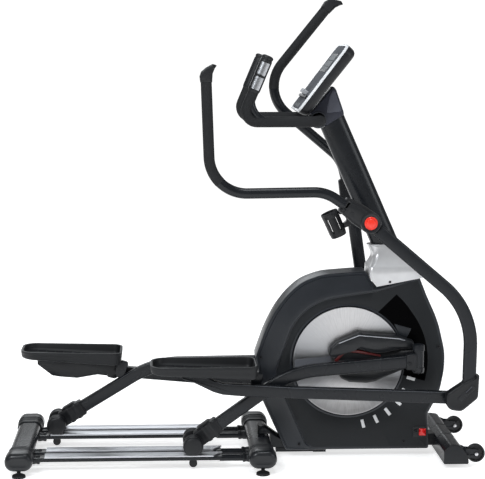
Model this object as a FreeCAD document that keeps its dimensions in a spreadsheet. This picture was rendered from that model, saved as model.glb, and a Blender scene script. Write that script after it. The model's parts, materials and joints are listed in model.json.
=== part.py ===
import FreeCAD, Part
import Sketcher
import math
import os

# Elliptical trainer with a front crank and rear rail rollers.
# Frame: +X towards the console end, +Y to the user's left, +Z up, origin on the floor
# under the middle of the machine. All lengths in millimetres, all angles in degrees.

doc = FreeCAD.newDocument("EllipticalTrainer")
sheet = doc.addObject("Spreadsheet::Sheet", "Sizes")
Vec = FreeCAD.Vector
Y_AXIS = Vec(0, 1, 0)

sizeRows = [
    ("crank_x", 429.0, "crank axle, forward of the middle"),
    ("crank_z", 412.7, "crank axle, height"),
    ("crank_radius", 280.5, "crank pin to crank axle"),
    ("crank_lift", 7.43, "right crank above the horizontal at rest"),
    ("roller_x", -220.3, "right roller axle at rest"),
    ("roller_z", 100.0, "roller axle height"),
    ("lug_reach", 344.2, "roller axle to pedal pivot"),
    ("lug_angle", 21.655, "pedal pivot above the line from roller to crank pin"),
    ("arm_x", 486.3, "swing arm pivot, forward"),
    ("arm_z", 1020.6, "swing arm pivot, height"),
    ("link_front_x", 846.5, "right link front pivot at rest"),
    ("link_front_z", 292.9, "right link front pivot at rest, height"),
    ("stab_rear_x", -923.0, "rear stabiliser centre"),
    ("stab_mid_x", 60.0, "middle stabiliser centre"),
    ("stab_z", 64.0, "stabiliser tube centre height"),
    ("stab_length", 560.0, "length of a stabiliser tube"),
    ("stab_depth", 100.0, "stabiliser tube, front to back"),
    ("stab_height", 60.0, "stabiliser tube height"),
    ("stab_wall", 2.5, "wall of the stabiliser tubes"),
    ("cap_reach", 322.0, "stabiliser cap outer face from the centre plane"),
    ("cap_length", 70.0, "length of a stabiliser cap"),
    ("rail_inner_y", 122.0, "inner rail from the centre plane"),
    ("rail_outer_y", 208.0, "outer rail from the centre plane"),
    ("track_width", 60.0, "aluminium track width"),
    ("track_thick", 6.0, "aluminium track thickness"),
    ("bar_width", 56.0, "steel rail bar width"),
    ("bar_height", 16.0, "steel rail bar height"),
    ("track_top", 64.0, "running surface height"),
    ("wheel_radius", 35.7, "roller wheel radius"),
    ("wheel_width", 24.0, "roller wheel width"),
    ("tube_y", 165.0, "roller tube from the centre plane"),
    ("tube_depth", 52.0, "roller tube depth"),
    ("tube_width", 36.0, "roller tube width"),
    ("link_y", 224.0, "pedal link from the centre plane"),
    ("link_width", 32.0, "pedal link width"),
    ("pedal_y", 201.5, "pedal middle from the centre plane"),
    ("pedal_width", 200.0, "pedal width"),
    ("pedal_length", 436.0, "pedal length"),
    ("pedal_height", 50.0, "pedal wall height"),
    ("arm_y", 259.0, "swing arm from the centre plane"),
    ("grip_tube", 21.5, "radius of the swing handle tube"),
    ("lower_arm_depth", 54.0, "lower swing arm depth"),
    ("lower_arm_width", 30.0, "lower swing arm width"),
    ("hub_width", 56.0, "swing hub width"),
    ("axle_radius", 15.0, "swing arm axle radius"),
    ("running_gap", 0.05, "radial clearance of a running fit"),
    ("mast_lean", 24.0, "mast lean from the vertical"),
    ("mast_depth", 110.0, "mast depth"),
    ("mast_width", 70.0, "mast width"),
    ("housing_half", 78.0, "housing half width"),
    ("recess_depth", 8.0, "depth of the recessed side panel"),
    ("shell_wall", 3.0, "housing wall"),
    ("disc_radius", 230.0, "crank disc radius"),
    ("disc_thick", 5.0, "crank disc thickness"),
    ("crank_axle_radius", 12.5, "crank axle radius"),
    ("crank_arm_thick", 18.0, "crank arm thickness"),
    ("pulley_radius", 130.0, "crank pulley radius"),
    ("flywheel_x", 620.0, "flywheel axle, forward"),
    ("flywheel_z", 255.0, "flywheel axle, height"),
    ("flywheel_radius", 105.0, "flywheel radius"),
    ("flywheel_width", 28.0, "flywheel width"),
    ("bar_grip_y", 180.0, "fixed handlebar arm from the centre plane"),
    ("bar_tube", 15.0, "fixed handlebar tube radius"),
    ("bar_foam", 22.0, "fixed handlebar foam radius"),
    ("console_tilt", 52.8, "console face from the horizontal"),
    ("console_width", 300.0, "console width"),
    ("cup_radius", 37.0, "bottle holder radius"),
    ("cup_depth", 88.0, "bottle holder depth"),
    ("transport_x", 942.5, "transport wheel axle, forward"),
    ("transport_z", 56.0, "transport wheel axle height"),
    ("transport_y", 214.0, "transport wheel from the centre plane"),
    ("transport_radius", 37.5, "transport wheel radius"),
    ("foot_radius", 28.0, "levelling foot radius"),
]
size = {}
for number, (alias, amount, note) in enumerate(sizeRows, start=1):
    sheet.set("A%d" % number, alias)
    sheet.set("B%d" % number, "%g" % amount)
    sheet.set("C%d" % number, note)
    sheet.setAlias("B%d" % number, alias)
    size[alias] = amount
doc.recompute()

# ---------------------------------------------------------------- linkage
# The two sides stand half a turn apart. The right side is in the forward position.
def circleMeet(centreA, radiusA, centreB, radiusB):
    # the lower of the two points where two circles in the XZ plane meet
    ax, az = centreA
    bx, bz = centreB
    gap = math.hypot(bx - ax, bz - az)
    along = (radiusA ** 2 - radiusB ** 2 + gap ** 2) / (2 * gap)
    across = math.sqrt(radiusA ** 2 - along ** 2)
    ux = (bx - ax) / gap
    uz = (bz - az) / gap
    first = (ax + along * ux - across * uz, az + along * uz + across * ux)
    second = (ax + along * ux + across * uz, az + along * uz - across * ux)
    return first if first[1] < second[1] else second


crankC = (size["crank_x"], size["crank_z"])
liftRad = math.radians(size["crank_lift"])
pinOffset = (size["crank_radius"] * math.cos(liftRad), size["crank_radius"] * math.sin(liftRad))
pinRight = (crankC[0] + pinOffset[0], crankC[1] + pinOffset[1])
pinLeft = (crankC[0] - pinOffset[0], crankC[1] - pinOffset[1])
rollerRight = (size["roller_x"], size["roller_z"])
tubeReach = math.hypot(pinRight[0] - rollerRight[0], pinRight[1] - rollerRight[1])
rollerLeft = (pinLeft[0] - math.sqrt(tubeReach ** 2 - (pinLeft[1] - size["roller_z"]) ** 2),
              size["roller_z"])


def tiltOf(low, high):
    return math.degrees(math.atan2(high[1] - low[1], high[0] - low[0]))


def reachFrom(start, reach, angle):
    turn = math.radians(angle)
    return (start[0] + reach * math.cos(turn), start[1] + reach * math.sin(turn))


tubeTiltRight = tiltOf(rollerRight, pinRight)
tubeTiltLeft = tiltOf(rollerLeft, pinLeft)
lugRight = reachFrom(rollerRight, size["lug_reach"], tubeTiltRight + size["lug_angle"])
lugLeft = reachFrom(rollerLeft, size["lug_reach"], tubeTiltLeft + size["lug_angle"])
armPivot = (size["arm_x"], size["arm_z"])
frontRight = (size["link_front_x"], size["link_front_z"])
linkReach = math.hypot(frontRight[0] - lugRight[0], frontRight[1] - lugRight[1])
armReach = math.hypot(frontRight[0] - armPivot[0], frontRight[1] - armPivot[1])
frontLeft = circleMeet(armPivot, armReach, lugLeft, linkReach)
linkTiltRight = tiltOf(lugRight, frontRight)
linkTiltLeft = tiltOf(lugLeft, frontLeft)
armSwing = tiltOf(armPivot, frontRight) - tiltOf(armPivot, frontLeft)
print("roller right", rollerRight, "left", [round(v, 3) for v in rollerLeft])
print("stroke", round(rollerRight[0] - rollerLeft[0], 4), "tube reach", round(tubeReach, 3))
print("tube tilt", round(tubeTiltRight, 4), round(tubeTiltLeft, 4))
print("pedal pivot", [round(v, 3) for v in lugRight + lugLeft])
print("link tilt", round(linkTiltRight, 4), round(linkTiltLeft, 4), "reach", round(linkReach, 3))
print("link front", [round(v, 3) for v in frontRight + frontLeft], "arm swing", round(armSwing, 4))

sides = (
    {"name": "right", "sign": -1.0, "roller": rollerRight, "tubeTurn": 0.0, "lug": lugRight,
     "linkTurn": 0.0, "armTurn": 0.0},
    {"name": "left", "sign": 1.0, "roller": rollerLeft, "tubeTurn": tubeTiltRight - tubeTiltLeft,
     "lug": lugLeft, "linkTurn": linkTiltRight - linkTiltLeft, "armTurn": armSwing},
)

subParts = []


# ---------------------------------------------------------------- helpers
def keep(thing, label):
    thing.Label = label
    subParts.append(thing)
    return thing


def newBody(name):
    return doc.addObject("PartDesign::Body", name)


def planeOf(body, role):
    for feature in body.Origin.OriginFeatures:
        if feature.Role == role:
            return feature
    raise ValueError(role)


def newSketch(body, name, role, offset=0.0):
    sketch = body.newObject("Sketcher::SketchObject", name)
    sketch.AttachmentSupport = [(planeOf(body, role), "")]
    sketch.MapMode = "FlatFace"
    sketch.AttachmentOffset = FreeCAD.Placement(Vec(0, 0, offset), FreeCAD.Rotation())
    return sketch


def roundedEdges(points, closed=True):
    # straight runs joined by tangent arcs; a point is (u, v) or (u, v, radius)
    total = len(points)
    flat = [Vec(p[0], p[1], 0) for p in points]
    bend = [p[2] if len(p) > 2 else 0.0 for p in points]
    entry = list(flat)
    leave = list(flat)
    arcs = [None] * total
    for i in range(total):
        inner = closed or 0 < i < total - 1
        if bend[i] <= 0 or not inner:
            continue
        back = (flat[i - 1] - flat[i]).normalize()
        ahead = (flat[(i + 1) % total] - flat[i]).normalize()
        half = back.getAngle(ahead) / 2
        trim = bend[i] / math.tan(half)
        entry[i] = flat[i] + back * trim
        leave[i] = flat[i] + ahead * trim
        middle = (back + ahead).normalize()
        centre = flat[i] + middle * (bend[i] / math.sin(half))
        arcs[i] = Part.Arc(entry[i], centre - middle * bend[i], leave[i])
    edges = []
    for i in range(total):
        if arcs[i] is not None:
            edges.append(arcs[i])
        after = (i + 1) % total
        if after == 0 and not closed:
            continue
        if (entry[after] - leave[i]).Length > 1e-6:
            edges.append(Part.LineSegment(leave[i], entry[after]))
    return edges


def drawLoop(sketch, points, closed=True):
    for edge in roundedEdges(points, closed):
        sketch.addGeometry(arcOrLine(edge), False)


def arcOrLine(edge):
    if isinstance(edge, Part.LineSegment):
        return edge
    shape = edge.toShape()
    curve = shape.Curve
    return Part.ArcOfCircle(curve, shape.FirstParameter, shape.LastParameter)


def drawCircle(sketch, u, v, alias=None, radius=None, extra=""):
    amount = size[alias] if alias else radius
    number = sketch.addGeometry(Part.Circle(Vec(u, v, 0), Vec(0, 0, 1), amount), False)
    if alias:
        place = sketch.addConstraint(Sketcher.Constraint("Radius", number, amount))
        sketch.renameConstraint(place, "round_%d" % number)
        sketch.setExpression("Constraints.round_%d" % number, "Sizes.%s%s" % (alias, extra))


def bindLength(feature, rule):
    if isinstance(rule, str):
        feature.setExpression("Length", rule)
    else:
        feature.Length = rule


def placeBody(body, x, y, z, turn=0.0, yRule=None):
    body.Placement = FreeCAD.Placement(Vec(x, y, z), FreeCAD.Rotation(Y_AXIS, turn))
    if yRule:
        body.setExpression(".Placement.Base.y", yRule)


def softenFaces(body, base, radius, axis="y"):
    # rounds the outline edges of the two flat side faces
    names = []
    half = None
    box = base.Shape.BoundBox
    low, high = (box.YMin, box.YMax) if axis == "y" else (box.ZMin, box.ZMax)
    for number, edge in enumerate(base.Shape.Edges, start=1):
        ends = [getattr(v.Point, axis) for v in edge.Vertexes]
        flatLow = all(abs(e - low) < 1e-4 for e in ends)
        flatHigh = all(abs(e - high) < 1e-4 for e in ends)
        if flatLow or flatHigh:
            names.append("Edge%d" % number)
    return filletEdges(body, base, names, radius)


def filletEdges(body, base, names, radius):
    # a fillet that the shape cannot take is left out and reported
    feature = body.newObject("PartDesign::Fillet", "Round")
    feature.Base = (base, names)
    feature.Radius = radius
    doc.recompute()
    good = feature.isValid() and not feature.Shape.isNull() and feature.Shape.isValid()
    if good and 0 < feature.Shape.Volume <= base.Shape.Volume * 1.02:
        return feature
    print("fillet of", radius, "left out on", body.Name)
    body.removeObject(feature)
    doc.removeObject(feature.Name)
    body.Tip = base
    doc.recompute()
    return base


def slab(name, outline, thickness, holes=(), soften=0.0, inner=None):
    # a plate drawn in the XZ plane and padded evenly to both sides
    body = newBody(name)
    sketch = newSketch(body, name + "Sketch", "XZ_Plane")
    if outline:
        drawLoop(sketch, outline)
    if inner:
        drawLoop(sketch, inner)
    for hole in holes:
        if len(hole) == 3 and isinstance(hole[2], str):
            drawCircle(sketch, hole[0], hole[1], hole[2], extra=" + Sizes.running_gap")
        else:
            drawCircle(sketch, hole[0], hole[1], radius=hole[2])
    pad = body.newObject("PartDesign::Pad", name + "Pad")
    pad.Profile = sketch
    pad.Midplane = True
    bindLength(pad, thickness)
    doc.recompute()
    if soften > 0:
        softenFaces(body, pad, soften)
    return body


def cutSlab(body, name, outline, thickness, offset=0.0, holes=(), midplane=True, reversedCut=False):
    # removes a plate-shaped volume; offset is along the sketch normal, which is -Y
    sketch = newSketch(body, name + "Sketch", "XZ_Plane", offset)
    if outline:
        drawLoop(sketch, outline)
    for hole in holes:
        drawCircle(sketch, hole[0], hole[1], radius=hole[2])
    before = body.Shape.Volume
    cut = body.newObject("PartDesign::Pocket", name)
    cut.Profile = sketch
    cut.Midplane = midplane
    cut.Reversed = reversedCut
    bindLength(cut, thickness)
    doc.recompute()
    if not body.Shape.Volume < before - 1:
        print("CUT NOTHING:", name, body.Name)
    return cut


def addSlab(body, name, outline, thickness, offset=0.0, holes=()):
    # adds a plate-shaped volume centred on the offset plane, which lies at y = -offset
    sketch = newSketch(body, name + "Sketch", "XZ_Plane", offset)
    if outline:
        drawLoop(sketch, outline)
    for hole in holes:
        drawCircle(sketch, hole[0], hole[1], radius=hole[2])
    pad = body.newObject("PartDesign::Pad", name)
    pad.Profile = sketch
    pad.Midplane = True
    bindLength(pad, thickness)
    doc.recompute()
    return pad


def group(label, members):
    # several identical or matching solids that are fitted as one set
    compound = doc.addObject("Part::Compound", "Set_" + label)
    compound.Links = members
    return keep(compound, label)


def oval(width, height, u=0.0, v=0.0, corner=None):
    r = min(width, height) / 2 - 0.05 if corner is None else corner
    w = width / 2
    h = height / 2
    return [(u - w, v - h, r), (u + w, v - h, r), (u + w, v + h, r), (u - w, v + h, r)]


def around(points, pivot, turn=0.0):
    # moves outline points so that the pivot is the origin, then turns them clockwise
    rad = math.radians(turn)
    moved = []
    for p in points:
        x = p[0] - pivot[0]
        z = p[1] - pivot[1]
        u = x * math.cos(rad) + z * math.sin(rad)
        w = -x * math.sin(rad) + z * math.cos(rad)
        moved.append((u, w) + tuple(p[2:]))
    return moved


def pathPipe(name, path, profilePoints):
    # a tube whose centre line lies in the XZ plane
    body = newBody(name)
    spine = newSketch(body, name + "Path", "XZ_Plane")
    drawLoop(spine, path, closed=False)
    start = Vec(path[0][0], 0, path[0][1])
    ahead = Vec(path[1][0], 0, path[1][1]) - start
    turn = -math.degrees(math.atan2(ahead.z, ahead.x))
    profile = body.newObject("Sketcher::SketchObject", name + "Profile")
    profile.AttachmentSupport = [(planeOf(body, "YZ_Plane"), "")]
    profile.MapMode = "FlatFace"
    # the YZ plane's own axes are Y, Z and X; the offset turns it square to the first run
    toPath = FreeCAD.Rotation(Vec(1, 0, 0), turn)
    profile.AttachmentOffset = FreeCAD.Placement(Vec(0, start.z, start.x), toPath)
    for loop in profilePoints:
        if loop[0] == "circle":
            drawCircle(profile, 0, 0, radius=loop[1])
        else:
            drawLoop(profile, loop)
    pipe = body.newObject("PartDesign::AdditivePipe", name + "Pipe")
    pipe.Profile = profile
    pipe.Spine = (spine, ["Edge%d" % (i + 1) for i in range(spine.GeometryCount)])
    doc.recompute()
    return body


def turned(name, profile):
    # a solid of revolution about its own Z axis; the profile is (radius, height) points
    body = newBody(name)
    sketch = newSketch(body, name + "Sketch", "XZ_Plane")
    drawLoop(sketch, profile)
    spin = body.newObject("PartDesign::Revolution", name + "Turn")
    spin.Profile = sketch
    spin.ReferenceAxis = (sketch, ["V_Axis"])
    spin.Angle = 360
    doc.recompute()
    return body


def faceOut(body, x, y, z, sign):
    # turns a body's Z axis away from the centre plane
    body.Placement = FreeCAD.Placement(Vec(x, y, z), FreeCAD.Rotation(Vec(1, 0, 0), -90 * sign))


def plate(name, outline, thickness, role="XY_Plane", holes=(), windows=(), offset=0.0):
    # a plate drawn in the XY plane and padded upwards
    body = newBody(name)
    sketch = newSketch(body, name + "Sketch", role, offset)
    drawLoop(sketch, outline)
    for window in windows:
        drawLoop(sketch, window)
    for hole in holes:
        drawCircle(sketch, hole[0], hole[1], radius=hole[2])
    pad = body.newObject("PartDesign::Pad", name + "Pad")
    pad.Profile = sketch
    bindLength(pad, thickness)
    doc.recompute()
    return body


def addRound(body, name, u, v, radius, low, high):
    # adds an upright cylinder between two heights
    sketch = newSketch(body, name + "Sketch", "XY_Plane", low)
    drawCircle(sketch, u, v, radius=radius)
    pad = body.newObject("PartDesign::Pad", name)
    pad.Profile = sketch
    pad.Length = high - low
    doc.recompute()
    return pad


def sideRule(side, alias):
    return ("-" if side["sign"] < 0 else "") + "Sizes." + alias


def solidFeature(label, shape):
    feature = doc.addObject("Part::Feature", "Shape_" + label)
    feature.Shape = shape
    return keep(feature, label)


def spaceWire(points):
    # a wire through points in space, with tangent arcs at the inner points
    total = len(points)
    flat = [Vec(*p[:3]) for p in points]
    edges = []
    last = flat[0]
    for i in range(1, total - 1):
        back = (flat[i - 1] - flat[i]).normalize()
        ahead = (flat[i + 1] - flat[i]).normalize()
        half = back.getAngle(ahead) / 2
        radius = points[i][3]
        trim = radius / math.tan(half)
        enter = flat[i] + back * trim
        leave = flat[i] + ahead * trim
        middle = (back + ahead).normalize()
        top = flat[i] + middle * (radius / math.sin(half) - radius)
        edges.append(Part.LineSegment(last, enter).toShape())
        edges.append(Part.Arc(enter, top, leave).toShape())
        last = leave
    edges.append(Part.LineSegment(last, flat[-1]).toShape())
    return Part.Wire(edges)


def roundPipe(points, radius):
    wire = spaceWire(points)
    start = wire.OrderedVertexes[0].Point
    ahead = Vec(*points[1][:3]) - Vec(*points[0][:3])
    ring = Part.Wire(Part.Circle(start, ahead, radius).toShape())
    return wire.makePipeShell([ring], True, False, 2)


# ---------------------------------------------------------------- base
def mainFrame():
    beam = slab("MainFrame", [(150, 36), (806, 36), (806, 86), (150, 86)], 60.0)
    cutSlab(beam, "BeamHollow", [(140, 39.5), (816, 39.5), (816, 82.5), (140, 82.5)], 53.0)
    gusset = [(56, 94), (56, 128, 6), (78, 128, 12), (168, 62, 6), (168, 36), (110.2, 36), (110.2, 94)]
    addSlab(beam, "Gusset", gusset, 76.0)
    post = [(crankC[0] - 20, 80), (crankC[0] + 20, 80), (crankC[0] + 20, crankC[1]),
            (crankC[0] - 20, crankC[1])]
    addSlab(beam, "CrankPost", post, 20.0)
    addSlab(beam, "BearingTube", None, 84.0, 18.0, [(crankC[0], crankC[1], 30)])
    wheelX = size["flywheel_x"]
    wheelZ = size["flywheel_z"]
    addSlab(beam, "CrossPlate", [(wheelX - 20, 62), (wheelX + 20, 62), (wheelX + 20, 70),
                                 (wheelX - 20, 70)], 112.0)
    for side in (-1, 1):
        cheek = [(wheelX - 20, 62), (wheelX + 20, 62), (wheelX + 20, wheelZ + 20, 12),
                 (wheelX - 20, wheelZ + 20, 12)]
        addSlab(beam, "Cheek%d" % (side + 1), cheek, 6.0, 53.0 * side)
    addSlab(beam, "MastPost", [(730, 80), (762, 80), (762, 604), (730, 604)], 60.0)
    cutSlab(beam, "PostHollow", [(733.5, 76), (758.5, 76), (758.5, 598), (733.5, 598)], 53.0)
    addSlab(beam, "MastFlange", [(640, 600), (777, 600), (777, 611.8), (640, 611.8)], 90.0)
    axleHole = size["crank_axle_radius"] + size["running_gap"]
    cutSlab(beam, "AxleHole", None, 200.0, holes=[(crankC[0], crankC[1], axleHole)])
    cutSlab(beam, "FlywheelHole", None, 200.0, holes=[(wheelX, wheelZ, 7.55)])
    placeBody(beam, 0, 0, 0)
    keep(beam, "main_frame")


def stabiliser(name, label, xRule, x):
    outer = oval(size["stab_depth"], size["stab_height"])
    wall = size["stab_wall"]
    inner = oval(size["stab_depth"] - 2 * wall, size["stab_height"] - 2 * wall)
    body = slab(name, outer, "Sizes.stab_length", inner=inner)
    placeBody(body, x, 0, size["stab_z"])
    body.setExpression(".Placement.Base.x", xRule)
    body.setExpression(".Placement.Base.z", "Sizes.stab_z")
    keep(body, label)


FRONT_SECTION = [(806, 19, 3), (904, 19, 6), (902, 52, 20), (874, 96, 20), (836, 102, 20), (806, 76, 16)]


def frontStabiliser():
    inner = [(811, 24, 3), (898, 24, 4), (896, 52, 16), (871, 91, 15), (838, 96, 15), (811, 74, 12)]
    body = slab("FrontStabiliser", FRONT_SECTION, 490.0, inner=inner)
    wing = [(868, 92, 4), (868, 42, 4), (944, 37, 17), (963, 56, 13), (944, 75, 17), (900, 78, 10)]
    for side in (-1, 1):
        for step in (-17.0, 17.0):
            offset = side * (size["transport_y"] + step)
            name = "Wing%d%d" % (side + 1, step + 17)
            addSlab(body, name, wing, 4.0, offset)
    cutSlab(body, "WingHoles", None, 600.0, holes=[(size["transport_x"], size["transport_z"], 5.0)])
    placeBody(body, 0, 0, 0)
    keep(body, "front_stabiliser")


def stabiliserCap(name, x, sign):
    width = size["stab_depth"] + 14
    height = size["stab_height"] + 16
    body = slab(name, oval(width, height), "Sizes.cap_length")
    cutSlab(body, name + "Mouth", oval(size["stab_depth"] + 0.6, size["stab_height"] + 0.6), 29.5, -20.75)
    hole = newSketch(body, name + "HoleSketch", "XY_Plane", -height / 2 - 1)
    drawCircle(hole, 0, -10.0, radius=8.3)
    bore = body.newObject("PartDesign::Pocket", name + "Bore")
    bore.Profile = hole
    bore.Reversed = True
    bore.Length = 21.0
    doc.recompute()
    names = []
    for number, edge in enumerate(body.Shape.Edges, start=1):
        if all(abs(v.Y + size["cap_length"] / 2) < 1e-4 for v in edge.Vertexes):
            names.append("Edge%d" % number)
    filletEdges(body, bore, names, 11.0)
    middle = size["cap_reach"] - size["cap_length"] / 2
    turn = 0 if sign < 0 else 180
    body.Placement = FreeCAD.Placement(Vec(x, sign * middle, size["stab_z"]),
                                       FreeCAD.Rotation(Vec(0, 0, 1), turn))
    return body


def stabiliserCaps():
    members = []
    for x in (size["stab_rear_x"], size["stab_mid_x"]):
        for sign in (-1, 1):
            members.append(stabiliserCap("Cap%d" % len(members), x, sign))
    for sign in (-1, 1):
        end = slab("FrontCap%d" % (sign + 1), FRONT_SECTION, 7.0, soften=2.5)
        placeBody(end, 0, sign * 248.6, 0)
        members.append(end)
        pad = turned("FrontPad%d" % (sign + 1), [(0, 0), (24, 0, 2), (22, 18.9, 2), (0, 18.9)])
        pad.Placement = FreeCAD.Placement(Vec(856, sign * 110, 0), FreeCAD.Rotation())
        members.append(pad)
    group("stabiliser_caps", members)


def rails():
    bars = []
    tracks = []
    barTop = size["track_top"] - size["track_thick"]
    for sign in (-1, 1):
        for alias, rear, front in (("rail_inner_y", -872.8, 9.8), ("rail_outer_y", -872.8, 9.8)):
            tag = "%d%s" % (sign + 1, alias[5:10])
            rule = ("-" if sign < 0 else "") + "Sizes." + alias
            low = barTop - size["bar_height"]
            bar = slab("Bar" + tag, [(rear, low), (-120, low), (-120, barTop), (rear, barTop)],
                       "Sizes.bar_width")
            cutSlab(bar, "BarChannel" + tag, [(rear + 4, low - 2), (-134, low - 2), (-134, barTop - 3),
                                              (rear + 4, barTop - 3)], 50.0)
            rod = newSketch(bar, "Rod" + tag, "YZ_Plane", -121.0)
            drawCircle(rod, 0, barTop - 13.0, radius=12.5)
            pad = bar.newObject("PartDesign::Pad", "RodPad" + tag)
            pad.Profile = rod
            pad.Length = front + 121.0
            doc.recompute()
            placeBody(bar, 0, 0, 0, yRule=rule)
            bars.append(bar)
            track = newBody("Track" + tag)
            plan = newSketch(track, "TrackPlan" + tag, "XY_Plane", barTop + 0.05)
            half = size["track_width"] / 2
            nearShift = 22.0 * -sign
            drawLoop(plan, [(-826, -half), (-118 - nearShift, -half), (-118 + nearShift, half),
                            (-826, half)])
            top = track.newObject("PartDesign::Pad", "TrackPad" + tag)
            top.Profile = plan
            top.Length = size["track_thick"] - 0.05
            doc.recompute()
            placeBody(track, 0, 0, 0, yRule=rule)
            tracks.append(track)
    group("rail_bars", bars)
    group("rail_tracks", tracks)


def levellingFeet():
    number = 0
    radius = size["foot_radius"]
    for place, x in (("rear", size["stab_rear_x"]), ("middle", size["stab_mid_x"])):
        for sideName, sign in (("right", -1), ("left", 1)):
            number += 1
            profile = [(0, 0), (radius, 0, 1.5), (radius - 1, 9, 3), (14, 15, 4), (8, 17), (8, 45), (0, 45)]
            foot = turned("Foot%d" % number, profile)
            foot.Placement = FreeCAD.Placement(Vec(x, sign * 297.0, 0), FreeCAD.Rotation())
            keep(foot, "foot_%s_%s" % (place, sideName))


def transportWheels():
    for sideName, sign in (("right", -1), ("left", 1)):
        radius = size["transport_radius"]
        half = 13.5
        profile = [(5.05, -half), (12, -half, 1), (16, -9), (28, -9), (30, -half, 1), (radius, -half, 3),
                   (radius, half, 3), (30, half, 1), (28, 9), (16, 9), (12, half, 1), (5.05, half)]
        wheel = turned("TransportWheel" + sideName, profile)
        faceOut(wheel, size["transport_x"], sign * size["transport_y"], size["transport_z"], sign)
        keep(wheel, "transport_wheel_" + sideName)
    bolts = []
    for sign in (-1, 1):
        profile = [(0, -23), (9, -23, 2), (9, -19.3), (4.95, -19.3), (4.95, 19.3), (9, 19.3),
                   (9, 23, 2), (0, 23)]
        bolt = turned("WheelBolt%d" % (sign + 1), profile)
        faceOut(bolt, size["transport_x"], sign * size["transport_y"], size["transport_z"], sign)
        bolts.append(bolt)
    group("transport_axles", bolts)


# ---------------------------------------------------------------- mast and console
def mastX(z):
    return 493.0 + math.tan(math.radians(size["mast_lean"])) * (1115.0 - z)


def mastOutline(extra=0.0):
    half = (size["mast_depth"] / 2 + extra) / math.cos(math.radians(size["mast_lean"]))
    return [(mastX(612) - half, 612), (mastX(612) + half, 612), (mastX(1442) + half, 1442),
            (mastX(1380) - half, 1380)]


def mast():
    body = slab("Mast", mastOutline(), "Sizes.mast_width")
    names = []
    pad = body.Tip
    for number, edge in enumerate(pad.Shape.Edges, start=1):
        ends = [abs(abs(v.Y) - size["mast_width"] / 2) < 1e-4 for v in edge.Vertexes]
        if all(ends) and edge.Length > 500:
            names.append("Edge%d" % number)
    filletEdges(body, pad, names, size["mast_width"] / 2 - 0.5)
    hollow = [(mastX(600) - 38, 600), (mastX(600) + 38, 600), (mastX(1400) + 38, 1400),
              (mastX(1360) - 38, 1360)]
    cutSlab(body, "MastHollow", hollow, 56.0)
    for reach, width in ((45, 42.0), (50, 26.0)):
        cutSlab(body, "MastHollow%d" % reach, [(mastX(600) - reach, 600), (mastX(600) + reach, 600),
                                               (mastX(1400) + reach, 1400), (mastX(1350) - reach, 1350)], width)
    cutSlab(body, "MastPivotHole", None, 200.0, holes=[(armPivot[0], armPivot[1], 26.1)])
    placeBody(body, 0, 0, 0)
    keep(body, "mast")


def mastCollar():
    sections = ((722, 516, 744, 78, 12), (792, 502.5, 716, 78, 12), (812, 518, 705, 68, 30),
                (842, 527, 690, 52, 42), (897, 511, 656, 44, 42))

    def loft(wall):
        wires = []
        for z, low, high, half, corner in sections:
            low += wall
            high -= wall
            half -= wall
            corner = max(corner - wall, 4)
            points = [(low, -half, corner), (high, -half, corner), (high, half, corner), (low, half, corner)]
            wire = Part.Wire([e.toShape() for e in roundedEdges(points)])
            wires.append(wire.translated(Vec(0, 0, z - wall)))
        return Part.makeLoft(wires, True, True)

    body = loft(0.0).cut(loft(4.5))
    below = Part.Face(Part.Wire([e.toShape() for e in roundedEdges(
        [(480, 793), (501.5, 793), (539, 730.5), (728, 767), (780, 700), (780, 600), (480, 600)])]))
    below.rotate(Vec(0, 0, 0), Vec(1, 0, 0), 90)
    body = body.cut(below.extrude(Vec(0, 200, 0)).translated(Vec(0, -100, 0)))
    half = size["mast_width"] / 2 + 0.4
    slot = Part.Face(Part.Wire([e.toShape() for e in roundedEdges(mastOutline(0.4))]))
    slot.rotate(Vec(0, 0, 0), Vec(1, 0, 0), 90)
    body = body.cut(slot.extrude(Vec(0, 2 * half, 0)).translated(Vec(0, -half, 0)))
    solid = max(body.Solids, key=lambda one: one.Volume)
    solidFeature("mast_collar", solid)


def headCover():
    outline = [(338, 1398, 4), (398, 1437.5, 4), (404, 1452, 6), (400, 1476, 20), (352, 1553, 10),
               (300, 1496, 12), (338, 1458, 12)]
    body = slab("HeadCover", outline, 74.0, soften=7.0)
    placeBody(body, 0, 0, 0)
    keep(body, "head_cover")


BAR_TOP = (82.0, 1680.0)
BAR_Z = 1418.0


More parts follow.
